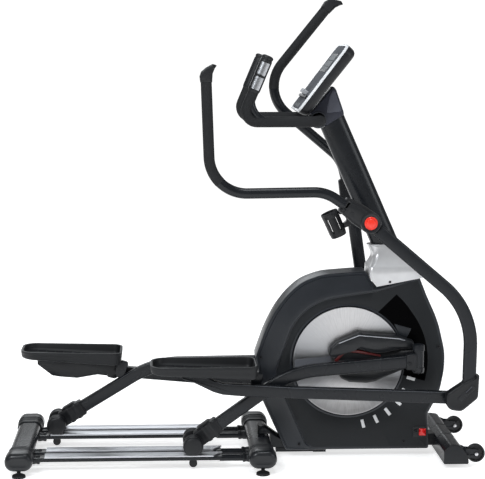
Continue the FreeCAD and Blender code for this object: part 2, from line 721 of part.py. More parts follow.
def fixedHandlebar():
    y = size["bar_grip_y"]
    lean = (BAR_TOP[0] + 27, BAR_TOP[1] - BAR_Z)
    reach = math.hypot(*lean)
    ahead = (lean[0] / reach, lean[1] / reach)

    def path(tops, inboard):
        x = BAR_TOP[0] - ahead[0] * tops
        z = BAR_TOP[1] - ahead[1] * tops
        return [(x, -y, z), (-27, -y, BAR_Z, 85), (300, -y, BAR_Z, 58), (300, inboard, BAR_Z)]

    half = path(12, 0)
    rest = [(p[0], -p[1]) + tuple(p[2:]) for p in reversed(half[:3])]
    tube = roundPipe(half[:3] + rest, size["bar_tube"])
    bore = roundPipe(half[:3] + rest, size["bar_tube"] - 2)
    solidFeature("fixed_handlebar", tube.cut(bore))
    grips = []
    plugs = []
    plates = []
    for sign in (-1, 1):
        points = [(p[0], sign * -p[1]) + tuple(p[2:]) for p in path(12, -46)]
        sleeve = roundPipe(points, size["bar_foam"])
        grips.append(sleeve.cut(roundPipe(points, size["bar_tube"] + 0.1)))
        end = Vec(points[0][0], points[0][1], points[0][2])
        axis = Vec(ahead[0], 0, ahead[1])
        knob = Part.makeCylinder(size["bar_foam"] + 1.5, 12, end + axis * 0.1, axis)
        knob = knob.makeFillet(5, [e for e in knob.Edges if e.Length > 20
                                   and (e.CenterOfMass - end).dot(axis) > 6])
        plugs.append(knob)
        for low in (18.0, 84.0):
            base = end - axis * (low + 58.0)
            shell = Part.makeCylinder(size["bar_foam"] + 1.6, 58, base, axis, 150)
            core = Part.makeCylinder(size["bar_foam"] + 0.1, 60, base - axis, axis)
            piece = shell.cut(core)
            turn = 105.0 if sign < 0 else 105.0
            piece.rotate(base, axis, turn)
            plates.append(piece)
    solidFeature("fixed_grips", Part.makeCompound(grips + plugs))
    solidFeature("sensor_plates", Part.makeCompound(plates))
    clamp = slab("Clamp", None, 76.0, holes=[(300, BAR_Z, 36.0), (300, BAR_Z, size["bar_tube"] + 0.1)])
    placeBody(clamp, 0, 0, 0)
    keep(clamp, "handlebar_clamp")


FACE_MIDDLE = (300.5, 1587.5)


def console():
    tilt = math.radians(size["console_tilt"])
    outX = -math.sin(tilt)
    outZ = math.cos(tilt)
    dropX = FACE_MIDDLE[0] - 4.2 * outX
    dropZ = FACE_MIDDLE[1] - 4.2 * outZ
    alongX = math.cos(tilt)
    alongZ = math.sin(tilt)
    top = (dropX + 161 * alongX, dropZ + 161 * alongZ, 6)
    low = (dropX - 161 * alongX, dropZ - 161 * alongZ, 5)
    back = [low, (238, 1446, 8), (264, 1460, 20), (357, 1565, 60), (422, 1643, 14), (430, 1662, 10),
            (427, 1690, 14), top]
    shell = slab("ConsoleBack", back, "Sizes.console_width", soften=5.0)
    tray = [(low[0] + 7 * alongX + 9 * outX, low[1] + 7 * alongZ + 9 * outZ), (243, 1453), (262, 1466, 16),
            (353, 1569, 50), (416, 1646, 10), (423, 1662, 8), (420, 1685, 8),
            (top[0] - 8 * alongX + 9 * outX, top[1] - 8 * alongZ + 9 * outZ)]
    cutSlab(shell, "ConsoleTray", tray, size["console_width"] - 9)
    placeBody(shell, 0, 0, 0)
    keep(shell, "console_back")
    buttons = (-52.0, 0.0, 52.0)
    rule = FreeCAD.Rotation(Y_AXIS, -size["console_tilt"])
    half = size["console_width"] / 2 - 4
    face = plate("ConsoleFace", [(-157, -half, 26), (157, -half, 30), (157, half, 30), (-157, half, 26)],
                 4.0, holes=[(-136, y, 9.6) for y in buttons],
                 windows=[[(36, -88, 6), (112, -88, 6), (112, 88, 6), (36, 88, 6)]])
    face.Placement = FreeCAD.Placement(Vec(FACE_MIDDLE[0] - 4 * outX, 0, FACE_MIDDLE[1] - 4 * outZ), rule)
    keep(face, "console_face")
    screen = plate("ConsoleScreen", [(36.3, -87.7, 6), (111.7, -87.7, 6), (111.7, 87.7, 6),
                                     (36.3, 87.7, 6)], 2.5)
    screen.Placement = face.Placement
    keep(screen, "console_screen")
    for number, y in enumerate(buttons, start=1):
        button = turned("Button%d" % number, [(0, 1.9), (9, 1.9), (9, 6, 1.5), (0, 6.3)])
        lift = FreeCAD.Placement(Vec(-136, y, 0), FreeCAD.Rotation())
        button.Placement = face.Placement.multiply(lift)
        keep(button, "console_button_%d" % number)


def bottleHolder():
    radius = size["cup_radius"]
    depth = size["cup_depth"]
    lean = size["mast_lean"]
    body = turned("BottleHolder", [(0, -depth), (radius - 3, -depth, 5), (radius, 0, 1), (radius - 3.2, 0, 1),
                                   (radius - 6.2, -depth + 4, 3), (0, -depth + 4)])
    reach = (mastX(1031) - 352) * math.cos(math.radians(lean)) - size["mast_depth"] / 2
    arm = [(radius - 4.5, -depth + 3, 3), (reach - 0.05, -depth + 3), (reach - 0.05, -6), (radius - 2.5, -6, 2)]
    sketch = newSketch(body, "BracketSketch", "XZ_Plane")
    drawLoop(sketch, arm)
    gap = [(radius + 7, -depth + 20, 5), (reach - 12, -depth + 20, 5), (reach - 12, -24, 5),
           (radius + 8, -24, 5)]
    drawLoop(sketch, gap)
    pad = body.newObject("PartDesign::Pad", "Bracket")
    pad.Profile = sketch
    pad.Midplane = True
    pad.Length = 30.0
    doc.recompute()
    turn = math.radians(lean)
    away = (armPivot[0] - 352, armPivot[1] - 1031)
    spot = (away[0] * math.cos(turn) + away[1] * math.sin(turn), away[1] * math.cos(turn) - away[0] * math.sin(turn))
    cutSlab(body, "AxleGap", None, 60.0, holes=[(spot[0], spot[1], 26.4)])
    body.Placement = FreeCAD.Placement(Vec(352, 0, 1031), FreeCAD.Rotation(Y_AXIS, -lean))
    keep(body, "bottle_holder")


def pivotAxle():
    axle = doc.addObject("Part::Cylinder", "PivotRod")
    axle.setExpression("Radius", "Sizes.axle_radius")
    axle.Height = 572.0
    axle.Placement = FreeCAD.Placement(Vec(armPivot[0], 286, armPivot[1]), FreeCAD.Rotation(Vec(1, 0, 0), 90))
    tube = slab("PivotTube", None, 461.0, holes=[(0, 0, 26.0), (0, 0, size["axle_radius"] + 0.1)])
    placeBody(tube, armPivot[0], 0, armPivot[1])
    group("pivot_axle", [axle, tube])


# ---------------------------------------------------------------- housing
HOUSING = [(172, 31, 8), (777, 31, 8), (771, 182, 10), (819, 272, 60), (838, 372, 120), (839, 446, 120),
           (807, 579, 120), (757, 688, 60), (727.5, 762), (538.5, 726), (500.5, 789.5), (449, 787.5, 40),
           (320, 778, 90), (236, 748, 90), (178, 697, 120), (128, 632, 120), (84, 545, 120),
           (44, 432, 30), (76, 240, 60)]
CAVITY = [(178, 35, 6), (772, 35, 6), (766, 183, 8), (814, 273, 56), (833, 373, 116), (834, 445, 116),
          (802, 577, 116), (752, 686, 50), (724.5, 757, 2), (536, 721, 2), (498, 785), (449, 783, 36),
          (322, 774, 86), (239, 744, 86), (182, 694, 116), (132, 630, 116), (89, 543, 116),
          (49, 432, 26), (81, 241, 56)]
RECESS = [(161, 400, 80), (185, 540, 110), (262, 640, 90), (420, 696, 60), (650, 729, 25), (735, 590, 150),
          (782, 440, 150), (765, 260, 150), (690, 140, 60), (640, 20), (308, 20), (308, 60, 20),
          (205, 262, 90)]
SWITCH_X = 759.0
SWITCH_Z = 106.0


def housing():
    half = size["housing_half"]
    wall = size["shell_wall"]
    recess = size["recess_depth"]
    for side in sides:
        sign = side["sign"]
        tag = side["name"].title()
        middle = (half + 0.3) / 2
        shell = slab("Housing" + tag, HOUSING, half - 0.3)
        outward = -sign
        inside = half - recess - wall
        cutSlab(shell, "Cavity" + tag, CAVITY, 2 * (half - wall - middle), 0.0)
        cutSlab(shell, "Split" + tag, CAVITY, 20.0, -outward * middle)
        pan = [(p[0] * 1.013 - 6.2, p[1] * 1.011 - 4.6) + tuple(p[2:]) for p in RECESS]
        pan[9] = (644, 31.5)
        pan[10] = (304, 31.5)
        addSlab(shell, "Pan" + tag, pan, half - inside, outward * ((half + inside) / 2 - middle))
        cutSlab(shell, "Recess" + tag, RECESS, 2 * recess, outward * (half - middle))
        cutSlab(shell, "Openings" + tag, None, 300.0, holes=[(crankC[0], crankC[1], 32.0)])
        cutSlab(shell, "RearBeam" + tag, [(20, 20), (186, 20), (186, 140), (20, 140)], 78.0,
                -outward * middle)
        cutSlab(shell, "FrontBeam" + tag, [(760, 20), (800, 20), (800, 90), (760, 90)], 64.0,
                -outward * middle)
        cutSlab(shell, "MastGate" + tag, mastOutline(1.0), size["mast_width"] + 2, -outward * middle)
        if sign < 0:
            window = [(SWITCH_X - 48, SWITCH_Z - 17), (SWITCH_X + 7, SWITCH_Z - 17),
                      (SWITCH_X + 7, SWITCH_Z + 17), (SWITCH_X - 48, SWITCH_Z + 17)]
            cutSlab(shell, "SwitchWindow", window, 40.0, outward * middle)
        placeBody(shell, 0, sign * middle, 0)
        keep(shell, "housing_" + side["name"])


def powerPanel():
    y = -(size["housing_half"] - size["recess_depth"])
    x = SWITCH_X - 9
    frame = [(x - 42, SWITCH_Z - 23, 4), (x + 17.8, SWITCH_Z - 23, 4), (x + 17.8, SWITCH_Z + 23, 4),
             (x - 42, SWITCH_Z + 23, 4)]
    window = [(x - 18, SWITCH_Z - 15.5), (x + 14, SWITCH_Z - 15.5), (x + 14, SWITCH_Z + 15.5),
              (x - 18, SWITCH_Z + 15.5)]
    panel = slab("PowerPanel", frame, 3.0, inner=window, holes=[(x - 29, SWITCH_Z + 4, 7.0)])
    placeBody(panel, 0, y - 1.7, 0)
    jack = turned("PowerInlet", [(4.5, 0), (6.9, 0), (6.9, 13.8, 0.8), (3, 13.8), (3, 8.8), (4.5, 8.8)])
    faceOut(jack, x - 29, y - 0.2, SWITCH_Z + 4, -1)
    group("power_panel", [panel, jack])
    outline = [(-14.5, -14.6, 2), (14.5, -14.6, 2), (14.5, 14.6, 2), (-14.5, 14.6, 2)]
    rocker = slab("PowerRocker", outline, 9.0)
    pin = newSketch(rocker, "RockerPin", "YZ_Plane", -15.4)
    drawCircle(pin, 2.5, 0, radius=2.0)
    pad = rocker.newObject("PartDesign::Pad", "RockerPinPad")
    pad.Profile = pin
    pad.Length = 30.8
    doc.recompute()
    placeBody(rocker, x - 2, y - 1.0, SWITCH_Z)
    keep(rocker, "power_rocker")


def housingScrews():
    spots = ((808, 473, 0), (227, 60, 0), (64, 434, 0), (600, 748, 0), (670, 66, 1))
    screws = []
    for sign in (-1, 1):
        for x, z, low in spots:
            y = size["housing_half"] - low * size["recess_depth"]
            screw = turned("Screw%d" % len(screws), [(0, 0.1), (6, 0.1), (5, 2.6, 1), (2, 2.6), (2, 1.2), (0, 1.2)])
            faceOut(screw, x, sign * y, z, sign)
            screws.append(screw)
    group("housing_screws", screws)


# ---------------------------------------------------------------- drive
def crankAxle():
    axle = doc.addObject("Part::Cylinder", "CrankRod")
    axle.setExpression("Radius", "Sizes.crank_axle_radius")
    axle.Height = 208.0
    axle.Placement = FreeCAD.Placement(Vec(crankC[0], 104, crankC[1]), FreeCAD.Rotation(Vec(1, 0, 0), 90))
    keep(axle, "crank_axle")
    pulley = slab("Pulley", None, 18.0, holes=[(0, 0, size["pulley_radius"]),
                                              (0, 0, size["crank_axle_radius"] + 0.02)])
    placeBody(pulley, crankC[0], 36, crankC[1])
    keep(pulley, "drive_pulley")


LEAF = [(-88, 10, 30), (-78, 78, 35), (-20, 121, 50), (58, 126, 60), (217, 62, 4), (217, -62, 4),
        (84, -94, 60), (0, -84, 60), (-66, -48, 30)]


def crankSide():
    arms = []
    covers = []
    inserts = []
    discs = []
    radius = size["crank_radius"]
    for side in sides:
        sign = side["sign"]
        outward = -sign
        tag = side["name"].title()
        turn = -size["crank_lift"] + (180 if sign > 0 else 0)
        # the left crank is the right one turned half a turn, so its profile is mirrored in height
        flip = 1 if sign < 0 else -1
        armLoop = [(-34, -34, 31), (radius + 27, -26, 24), (radius + 27, 26, 24), (-34, 34, 31)]
        arm = slab("CrankArm" + tag, armLoop, "Sizes.crank_arm_thick",
                   holes=[(0, 0, size["crank_axle_radius"] + 0.02)])
        addSlab(arm, "CrankPin" + tag, None, 44.5, outward * (44.5 / 2), [(radius, 0, 14.0)])
        addSlab(arm, "CrankBoss" + tag, None, 10.0, -outward * 13.0,
                [(0, 0, 28.0), (0, 0, size["crank_axle_radius"] + 0.02)])
        placeBody(arm, crankC[0], sign * 95.0, crankC[1], turn)
        arms.append(arm)
        leaf = [(p[0], p[1] * 1.0, p[2]) for p in LEAF]
        cover = slab("CrankCover" + tag, leaf, 45.0)
        softenOuter(cover, -outward, 10.0)
        hollow = [(p[0] * 0.955 + 2, p[1] * 0.955, p[2]) for p in LEAF]
        cutSlab(cover, "CoverHollow" + tag, hollow, 60.0, -outward * 11.5)
        nest = [(120, -30), (240, -30), (240, 30), (120, 30)]
        cutSlab(cover, "CoverNest" + tag, nest, 24.0, -outward * (22.5 - 11.9))
        placeBody(cover, crankC[0], sign * 105.5, crankC[1], turn)
        covers.append(cover)
        lens = [(-78, 2, 14), (-48, 30, 16), (-8, 36, 20), (76, 10, 5), (76, -6, 5), (0, -40, 26),
                (-54, -30, 16)]
        insert = slab("CrankInsert" + tag, lens, 2.0)
        placeBody(insert, crankC[0], sign * 129.2, crankC[1], turn)
        inserts.append(insert)
        disc = slab("Disc" + tag, None, "Sizes.disc_thick",
                    holes=[(0, 0, size["disc_radius"]), (0, 0, size["crank_axle_radius"] + 0.02)])
        placeBody(disc, crankC[0], sign * 74.0, crankC[1], turn)
        discs.append(disc)
    group("crank_arms", arms)
    group("crank_covers", covers)
    group("crank_inserts", inserts)
    group("crank_discs", discs)


def softenOuter(body, outwardY, radius=14.0):
    # rounds the outline of the face that looks away from the machine
    base = body.Tip
    box = base.Shape.BoundBox
    level = box.YMax if outwardY > 0 else box.YMin
    names = []
    for number, edge in enumerate(base.Shape.Edges, start=1):
        if all(abs(v.Y - level) < 1e-4 for v in edge.Vertexes):
            names.append("Edge%d" % number)
    return filletEdges(body, base, names, radius)


def flywheel():
    rim = size["flywheel_radius"]
    profile = [(0, -55.5), (7.5, -55.5), (7.5, -42), (30, -42, 3), (30, -32), (rim - 22, -32, 3),
               (rim - 20, -36, 1), (rim, -36, 2), (rim, -8, 2), (rim - 20, -8, 1), (rim - 22, -12, 3),
               (30, -12), (30, -2, 3), (12, -2), (12, 27), (25, 27), (25, 45), (7.5, 45), (7.5, 55.5),
               (0, 55.5)]
    body = turned("Flywheel", profile)
    faceOut(body, size["flywheel_x"], 0, size["flywheel_z"], 1)
    keep(body, "flywheel")


def driveBelt():
    # two circles joined by their outer tangents
    def band(extra):
        big = size["pulley_radius"] + extra
        small = 25.0 + extra
        dx = size["flywheel_x"] - crankC[0]
        dz = size["flywheel_z"] - crankC[1]
        gap = math.hypot(dx, dz)
        ground = math.atan2(dz, dx)
        spread = math.acos((big - small) / gap)
        points = []
        for centre, radius, start, stop in (
                (crankC, big, ground + spread, ground - spread + 2 * math.pi),
                ((size["flywheel_x"], size["flywheel_z"]), small, ground - spread, ground + spread)):
            for step in range(3):
                turn = start + (stop - start) * step / 2
                points.append(Vec(centre[0] + radius * math.cos(turn), 0, centre[1] + radius * math.sin(turn)))
        edges = [Part.Arc(points[0], points[1], points[2]).toShape(),
                 Part.LineSegment(points[2], points[3]).toShape(),
                 Part.Arc(points[3], points[4], points[5]).toShape(),
                 Part.LineSegment(points[5], points[0]).toShape()]
        return Part.Face(Part.Wire(edges)).extrude(Vec(0, 14, 0)).translated(Vec(0, 29, 0))
    solidFeature("drive_belt", band(3.5).cut(band(0.5)))


# ---------------------------------------------------------------- linkage of one side
def carriage(side):
    sign = side["sign"]
    tag = side["name"].title()
    x, z = side["roller"]
    rod = turned("RollerRod" + tag, [(0, 97), (5.95, 97), (5.95, 233), (0, 233)])
    faceOut(rod, x, 0, z, sign)
    strap = [(-14, 14, 13.9), (14, 14, 13.9), (14, -88, 13.9), (-14, -88, 13.9)]
    hanger = slab("Hanger" + tag, strap, 8.0, holes=[(0, 0, 5.97)])
    placeBody(hanger, x, sign * 165.0, z)
    pieces = [rod, hanger]
    for low, high in ((118.0, 160.8), (169.2, 218.0)):
        profile = [(0, low), (5, low), (5, high), (0, high)]
        wide = [(0, low), (16.5, low, 3), (16.5, low + 20, 3), (5, low + 20), (5, high), (0, high)]
        if low > 150:
            wide = [(0, low), (5, low), (5, high - 20), (16.5, high - 20, 3), (16.5, high, 3), (0, high)]
        glide = turned("Glide%s%d" % (tag, low), wide)
        faceOut(glide, x, 0, z - 75.5, sign)
        pieces.append(glide)
    group("roller_axle_" + side["name"], pieces)
    wheels = []
    radius = size["wheel_radius"]
    half = size["wheel_width"] / 2
    for alias in ("rail_inner_y", "rail_outer_y"):
        profile = [(6.0, -half), (radius - 3, -half, 2), (radius, -half + 4, 2), (radius, half - 4, 2),
                   (radius - 3, half, 2), (6.0, half)]
        wheel = turned("Roller%s%s" % (tag, alias[5:10]), profile)
        faceOut(wheel, x, sign * size[alias], z, sign)
        wheels.append(wheel)
    group("roller_wheels_" + side["name"], wheels)


def rollerTube(side):
    sign = side["sign"]
    outward = -sign
    tag = side["name"].title()
    x, z = side["roller"]
    pin = (pinRight[0] - rollerRight[0], pinRight[1] - rollerRight[1])
    lug = (lugRight[0] - rollerRight[0], lugRight[1] - rollerRight[1])
    knee = (400.3, 288.4)
    run = math.hypot(*knee)
    start = (knee[0] * 34 / run, knee[1] * 34 / run)
    path = [start, (knee[0], knee[1], 400), (pin[0] - 20, 334.2)]
    outer = oval(size["tube_width"], size["tube_depth"], corner=8)
    inner = oval(size["tube_width"] - 5, size["tube_depth"] - 5, corner=6)
    body = pathPipe("RollerTube" + tag, path, [outer, inner])
    addRound(body, "Barrel" + tag, pin[0], 0, 25.0, pin[1] - 66, pin[1] + 56)
    across = (-knee[1] / run, knee[0] / run)
    along = (knee[0] / run, knee[1] / run)

    def spot(up, forward, corner=0.0):
        return (lug[0] + across[0] * up + along[0] * forward, lug[1] + across[1] * up + along[1] * forward,
                corner)

    ear = [spot(19, -19, 18.5), spot(-14, -30, 8), spot(-32, -34), spot(-32, 34), spot(-14, 30, 8),
           spot(19, 19, 18.5)]
    addSlab(body, "Lug" + tag, ear, 20.0)
    addSlab(body, "PedalPin" + tag, None, 75.4, outward * 37.7, [(lug[0], lug[1], 8.0)])
    placeBody(body, x, 0, z, side["tubeTurn"], sideRule(side, "tube_y"))
    keep(body, "roller_tube_" + side["name"])


def rollerCover(side):
    # plastic sleeve on the end of the roller tube, with a fender over each wheel
    sign = side["sign"]
    tag = side["name"].title()
    x, z = side["roller"]
    angle = math.degrees(math.atan2(288.4, 400.3))
    ring = Part.makeCylinder(41.5, 58, Vec(0, 0, 0), Y_AXIS)
    outer = ring.translated(Vec(0, 191, 0))
    outer = outer.makeFillet(9, [e for e in outer.Edges if abs(e.CenterOfMass.y - 249) < 0.1])
    outer = outer.cut(Part.makeCylinder(38.5, 28.5, Vec(0, 195.4, 0), Y_AXIS))
    outer = outer.cut(Part.makeBox(120, 60, 60, Vec(-60, 190, -90)))
    inner = ring.translated(Vec(0, 81, 0))
    inner = inner.makeFillet(9, [e for e in inner.Edges if abs(e.CenterOfMass.y - 81) < 0.1])
    inner = inner.cut(Part.makeBox(120, 60, 60, Vec(-60, 80, -90)))
    inner = inner.cut(Part.makeCylinder(38.5, 25.6, Vec(0, 109, 0), Y_AXIS))
    hub = Part.makeCylinder(24, 60, Vec(0, 135, 0), Y_AXIS)
    sleeve = Part.makeBox(106, 52, 66, Vec(26, 139, -33))
    sleeve = sleeve.makeFillet(7, [e for e in sleeve.Edges if abs(e.tangentAt(e.FirstParameter).x) > 0.9])
    sleeve.rotate(Vec(0, 0, 0), Y_AXIS, -angle)
    whole = outer.fuse([inner, hub, sleeve])
    cave = Part.makeBox(140, size["tube_width"] + 0.6, size["tube_depth"] + 0.6,
                        Vec(33.5, 165 - size["tube_width"] / 2 - 0.3, -size["tube_depth"] / 2 - 0.3))
    cave.rotate(Vec(0, 0, 0), Y_AXIS, -angle)
    whole = whole.cut(cave)
    whole = whole.cut(Part.makeCylinder(6.02, 200, Vec(0, 90, 0), Y_AXIS))
    whole = whole.cut(Part.makeBox(64, 9.2, 120, Vec(-46, 160.4, -100)))
    whole = whole.cut(Part.makeCylinder(18, 9.2, Vec(0, 160.4, 0), Y_AXIS))
    solid = max(whole.Solids, key=lambda one: one.Volume)
    if sign < 0:
        solid = solid.mirror(Vec(0, 0, 0), Y_AXIS)
    solid.rotate(Vec(0, 0, 0), Y_AXIS, side["tubeTurn"])
    feature = solidFeature("roller_cover_" + side["name"], solid)
    feature.Placement = FreeCAD.Placement(Vec(x, 0, z), FreeCAD.Rotation()).multiply(feature.Placement)


def pedalLink(side):
    tag = side["name"].title()
    x, z = side["lug"]
    front = (frontRight[0] - lugRight[0], frontRight[1] - lugRight[1])
    outline = [(-322, 61, 3), (-284, 50, 10), (-168, 9, 60), (-66, -9, 90), (front[0], -64.5, 25.5),
               (front[0] + 26.5, -64.5, 25.5), (front[0] + 26.5, -13, 25.5), (front[0] - 30, -11.5, 6),
               (-30, 42, 120), (-104, 61, 20)]
    body = slab("PedalLink" + tag, outline, "Sizes.link_width", holes=[(0, 0, 8.05)])
    inward = side["sign"] * 2.0
    cutSlab(body, "LinkChannel" + tag, [(30, 34), (750, -13.4), (750, -56.4), (30, -11)], 30.0, inward)
    cutSlab(body, "LinkPocket" + tag, [(-262, 50), (-165, 15), (-66, -4), (-24, -8), (-24, 36), (-104, 56)],
            30.0, inward)
    placeBody(body, x, 0, z, side["linkTurn"], sideRule(side, "link_y"))
    keep(body, "pedal_link_" + side["name"])


def pedal(side):
    tag = side["name"].title()
    x, z = side["lug"]
    half = size["pedal_width"] / 2
    length = size["pedal_length"]
    height = size["pedal_height"]
    low = -428.0
    high = low + length
    body = plate("Pedal" + tag, [(low, -half, 62), (high, -half, 40), (high, half, 40), (low, half, 62)],
                 "Sizes.pedal_height", offset=61.6)
    well = newSketch(body, "Well" + tag, "XY_Plane", 61.6 + height)
    inner = 9.0
    drawLoop(well, [(low + inner, -half + inner, 53), (high - inner, -half + inner, 31),
                    (high - inner, half - inner, 31), (low + inner, half - inner, 53)])
    cut = body.newObject("PartDesign::Pocket", "WellCut" + tag)
    cut.Profile = well
    cut.Length = height - 12.0
    doc.recompute()
    names = []
    for number, edge in enumerate(body.Shape.Edges, start=1):
        heights = [v.Z for v in edge.Vertexes]
        if all(abs(h - 61.6 - height) < 1e-4 for h in heights):
            names.append("Edge%d" % number)
    filletEdges(body, cut, names, 3.0)
    base = body.Tip
    names = []
    for number, edge in enumerate(body.Shape.Edges, start=1):
        if all(abs(v.Z - 61.6) < 1e-4 for v in edge.Vertexes):
            names.append("Edge%d" % number)
    filletEdges(body, base, names, 14.0)
    placeBody(body, x, 0, z, side["linkTurn"], sideRule(side, "pedal_y"))
    keep(body, "pedal_" + side["name"])


def swingArm(side):
    sign = side["sign"]
    outward = -sign
    tag = side["name"].title()
    turn = side["armTurn"]
    rule = sideRule(side, "arm_y")
    grip = size["grip_tube"]
    upperPath = around([(-167.6, 1580), (-151, 1137, 150), (307.6, 1143, 150), (377.0, 1095.4)], armPivot)
    upper = pathPipe("SwingHandle" + tag, upperPath, [("circle", grip), ("circle", grip - 2)])
    placeBody(upper, armPivot[0], 0, armPivot[1], turn, rule)
    lowerPath = around([(520.3, 987.7), (903.5, 661, 464), (899, 352)], armPivot)
    outer = oval(size["lower_arm_width"], size["lower_arm_depth"], corner=11)
    inner = oval(size["lower_arm_width"] - 5, size["lower_arm_depth"] - 5, corner=9)
    lower = pathPipe("SwingLower" + tag, lowerPath, [outer, inner])
    plateLoop = around([(873, 360), (925, 360), (923, 326, 24), (862, 268, 24), (826, 270, 22),
                        (822, 312, 22)], armPivot)
    addSlab(lower, "EndPlate" + tag, plateLoop, 20.0)
    front = around([frontRight], armPivot)[0]
    addSlab(lower, "FrontPin" + tag, None, 18.4, -outward * 9.2, [(front[0], front[1], 8.0)])
    placeBody(lower, armPivot[0], 0, armPivot[1], turn, rule)
    group("swing_arm_" + side["name"], [upper, lower])
    hubLoop = [(-132, -43, 10), (44, -43, 42.9), (44, 43, 42.9), (-132, 43, 10)]
    hub = slab("SwingHub" + tag, hubLoop, "Sizes.hub_width",
               holes=[(0, 0, size["axle_radius"] + size["running_gap"])], soften=6.0)
    placeBody(hub, armPivot[0], 0, armPivot[1], 34.4 + turn, rule)
    skirt = around([(938, 400, 3), (934.5, 303, 28), (868, 247, 30), (806, 256, 34), (803, 320, 26),
                    (868, 364, 8)], armPivot)
    cover = slab("SwingSkirt" + tag, skirt, 41.0)
    softenOuter(cover, -outward, 5.0)
    nest = around([(868.5, 420), (932, 420), (929, 326, 26), (864, 260, 24), (816, 262, 20),
                   (814, 316, 22), (868.5, 358, 6)], armPivot)
    cutSlab(cover, "SkirtNest" + tag, nest, 31.0, -outward * 3.7)
    cutSlab(cover, "SkirtPinHole" + tag, None, 14.0, -outward * 20.0, [(front[0], front[1], 9.0)])
    placeBody(cover, armPivot[0], sign * 262.7, armPivot[1], turn)
    plugLoop = around([(-192, 1581.4), (-197, 1603, 4), (-189, 1619, 6), (-142, 1651, 5), (-125, 1642, 3),
                       (-141, 1617, 8), (-144, 1581.4)], armPivot)
    plug = slab("SwingPlug" + tag, plugLoop, 46.0, soften=6.0)
    placeBody(plug, armPivot[0], 0, armPivot[1], turn, rule)
    group("swing_covers_" + side["name"], [hub, cover, plug])
    cap = turned("SwingCap" + tag, [(0, 0), (26, 0, 1), (26, 4, 3), (16, 9.5, 22), (0, 11)])
    faceOut(cap, armPivot[0], sign * (size["arm_y"] + size["hub_width"] / 2 + 0.3), armPivot[1], sign)
    keep(cap, "swing_cap_" + side["name"])


# ---------------------------------------------------------------- build all
mainFrame()
stabiliser("RearStabiliser", "rear_stabiliser", "Sizes.stab_rear_x", size["stab_rear_x"])
stabiliser("MiddleStabiliser", "middle_stabiliser", "Sizes.stab_mid_x", size["stab_mid_x"])
frontStabiliser()
stabiliserCaps()
rails()
levellingFeet()
transportWheels()
mast()
mastCollar()
headCover()
fixedHandlebar()
console()
bottleHolder()
pivotAxle()
housing()
powerPanel()
housingScrews()
crankAxle()
crankSide()
flywheel()
driveBelt()
for oneSide in sides:
    carriage(oneSide)
    rollerTube(oneSide)
    rollerCover(oneSide)
    pedalLink(oneSide)
    pedal(oneSide)
    swingArm(oneSide)

# ---------------------------------------------------------------- check and write
doc.recompute()
faults = []
for thing in doc.Objects:
    if "Invalid" in thing.State or "Error" in thing.State:
        faults.append(thing.Name + " state " + str(thing.State))
for thing in subParts:
    if thing.Shape.isNull() or not thing.Shape.isValid():
        faults.append(thing.Label + " shape")
    elif len(thing.Shape.Solids) < 1:
        faults.append(thing.Label + " has no solid")
if faults:
    raise RuntimeError("faults: " + "; ".join(faults))
os.makedirs("parts", exist_ok=True)
for thing in subParts:
    box = thing.Shape.BoundBox
    print("%-24s solids %2d volume %9.1f cm3  x %7.1f %7.1f  y %7.1f %7.1f  z %7.1f %7.1f" % (
        thing.Label, len(thing.Shape.Solids), thing.Shape.Volume / 1000, box.XMin, box.XMax, box.YMin,
        box.YMax, box.ZMin, box.ZMax))
    thing.Shape.exportStep("parts/%s.step" % thing.Label)
print("sub-parts", len(subParts))
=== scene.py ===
import json
import math

import bmesh
import bpy
import numpy as np
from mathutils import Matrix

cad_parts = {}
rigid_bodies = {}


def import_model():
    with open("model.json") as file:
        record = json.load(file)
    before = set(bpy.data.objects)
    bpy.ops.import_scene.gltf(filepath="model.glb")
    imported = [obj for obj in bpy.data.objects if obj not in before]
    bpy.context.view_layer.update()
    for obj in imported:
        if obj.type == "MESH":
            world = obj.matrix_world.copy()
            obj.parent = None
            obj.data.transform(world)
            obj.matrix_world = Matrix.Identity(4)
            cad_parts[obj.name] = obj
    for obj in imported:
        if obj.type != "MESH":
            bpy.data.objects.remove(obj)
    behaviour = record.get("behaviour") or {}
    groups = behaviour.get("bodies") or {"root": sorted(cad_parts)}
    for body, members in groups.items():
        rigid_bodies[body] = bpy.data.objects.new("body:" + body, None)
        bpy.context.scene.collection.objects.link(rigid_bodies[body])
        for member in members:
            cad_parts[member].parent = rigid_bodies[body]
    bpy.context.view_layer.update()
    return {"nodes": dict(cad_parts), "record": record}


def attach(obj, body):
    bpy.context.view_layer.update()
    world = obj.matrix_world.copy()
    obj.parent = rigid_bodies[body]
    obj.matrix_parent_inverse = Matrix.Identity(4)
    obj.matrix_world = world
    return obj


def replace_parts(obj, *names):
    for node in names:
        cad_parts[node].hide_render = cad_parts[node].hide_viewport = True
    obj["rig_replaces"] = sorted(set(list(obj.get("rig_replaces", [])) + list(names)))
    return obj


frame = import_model()
record = frame["record"]
joints = {joint["name"]: joint for joint in record["behaviour"]["joints"]}
ratios = {pair["joint"]: pair["ratio"] for pair in record["behaviour"]["couplings"]}
print("frame loaded:", len(frame["nodes"]), "nodes")


# shapes as grids of points, in millimetres until they become a piece

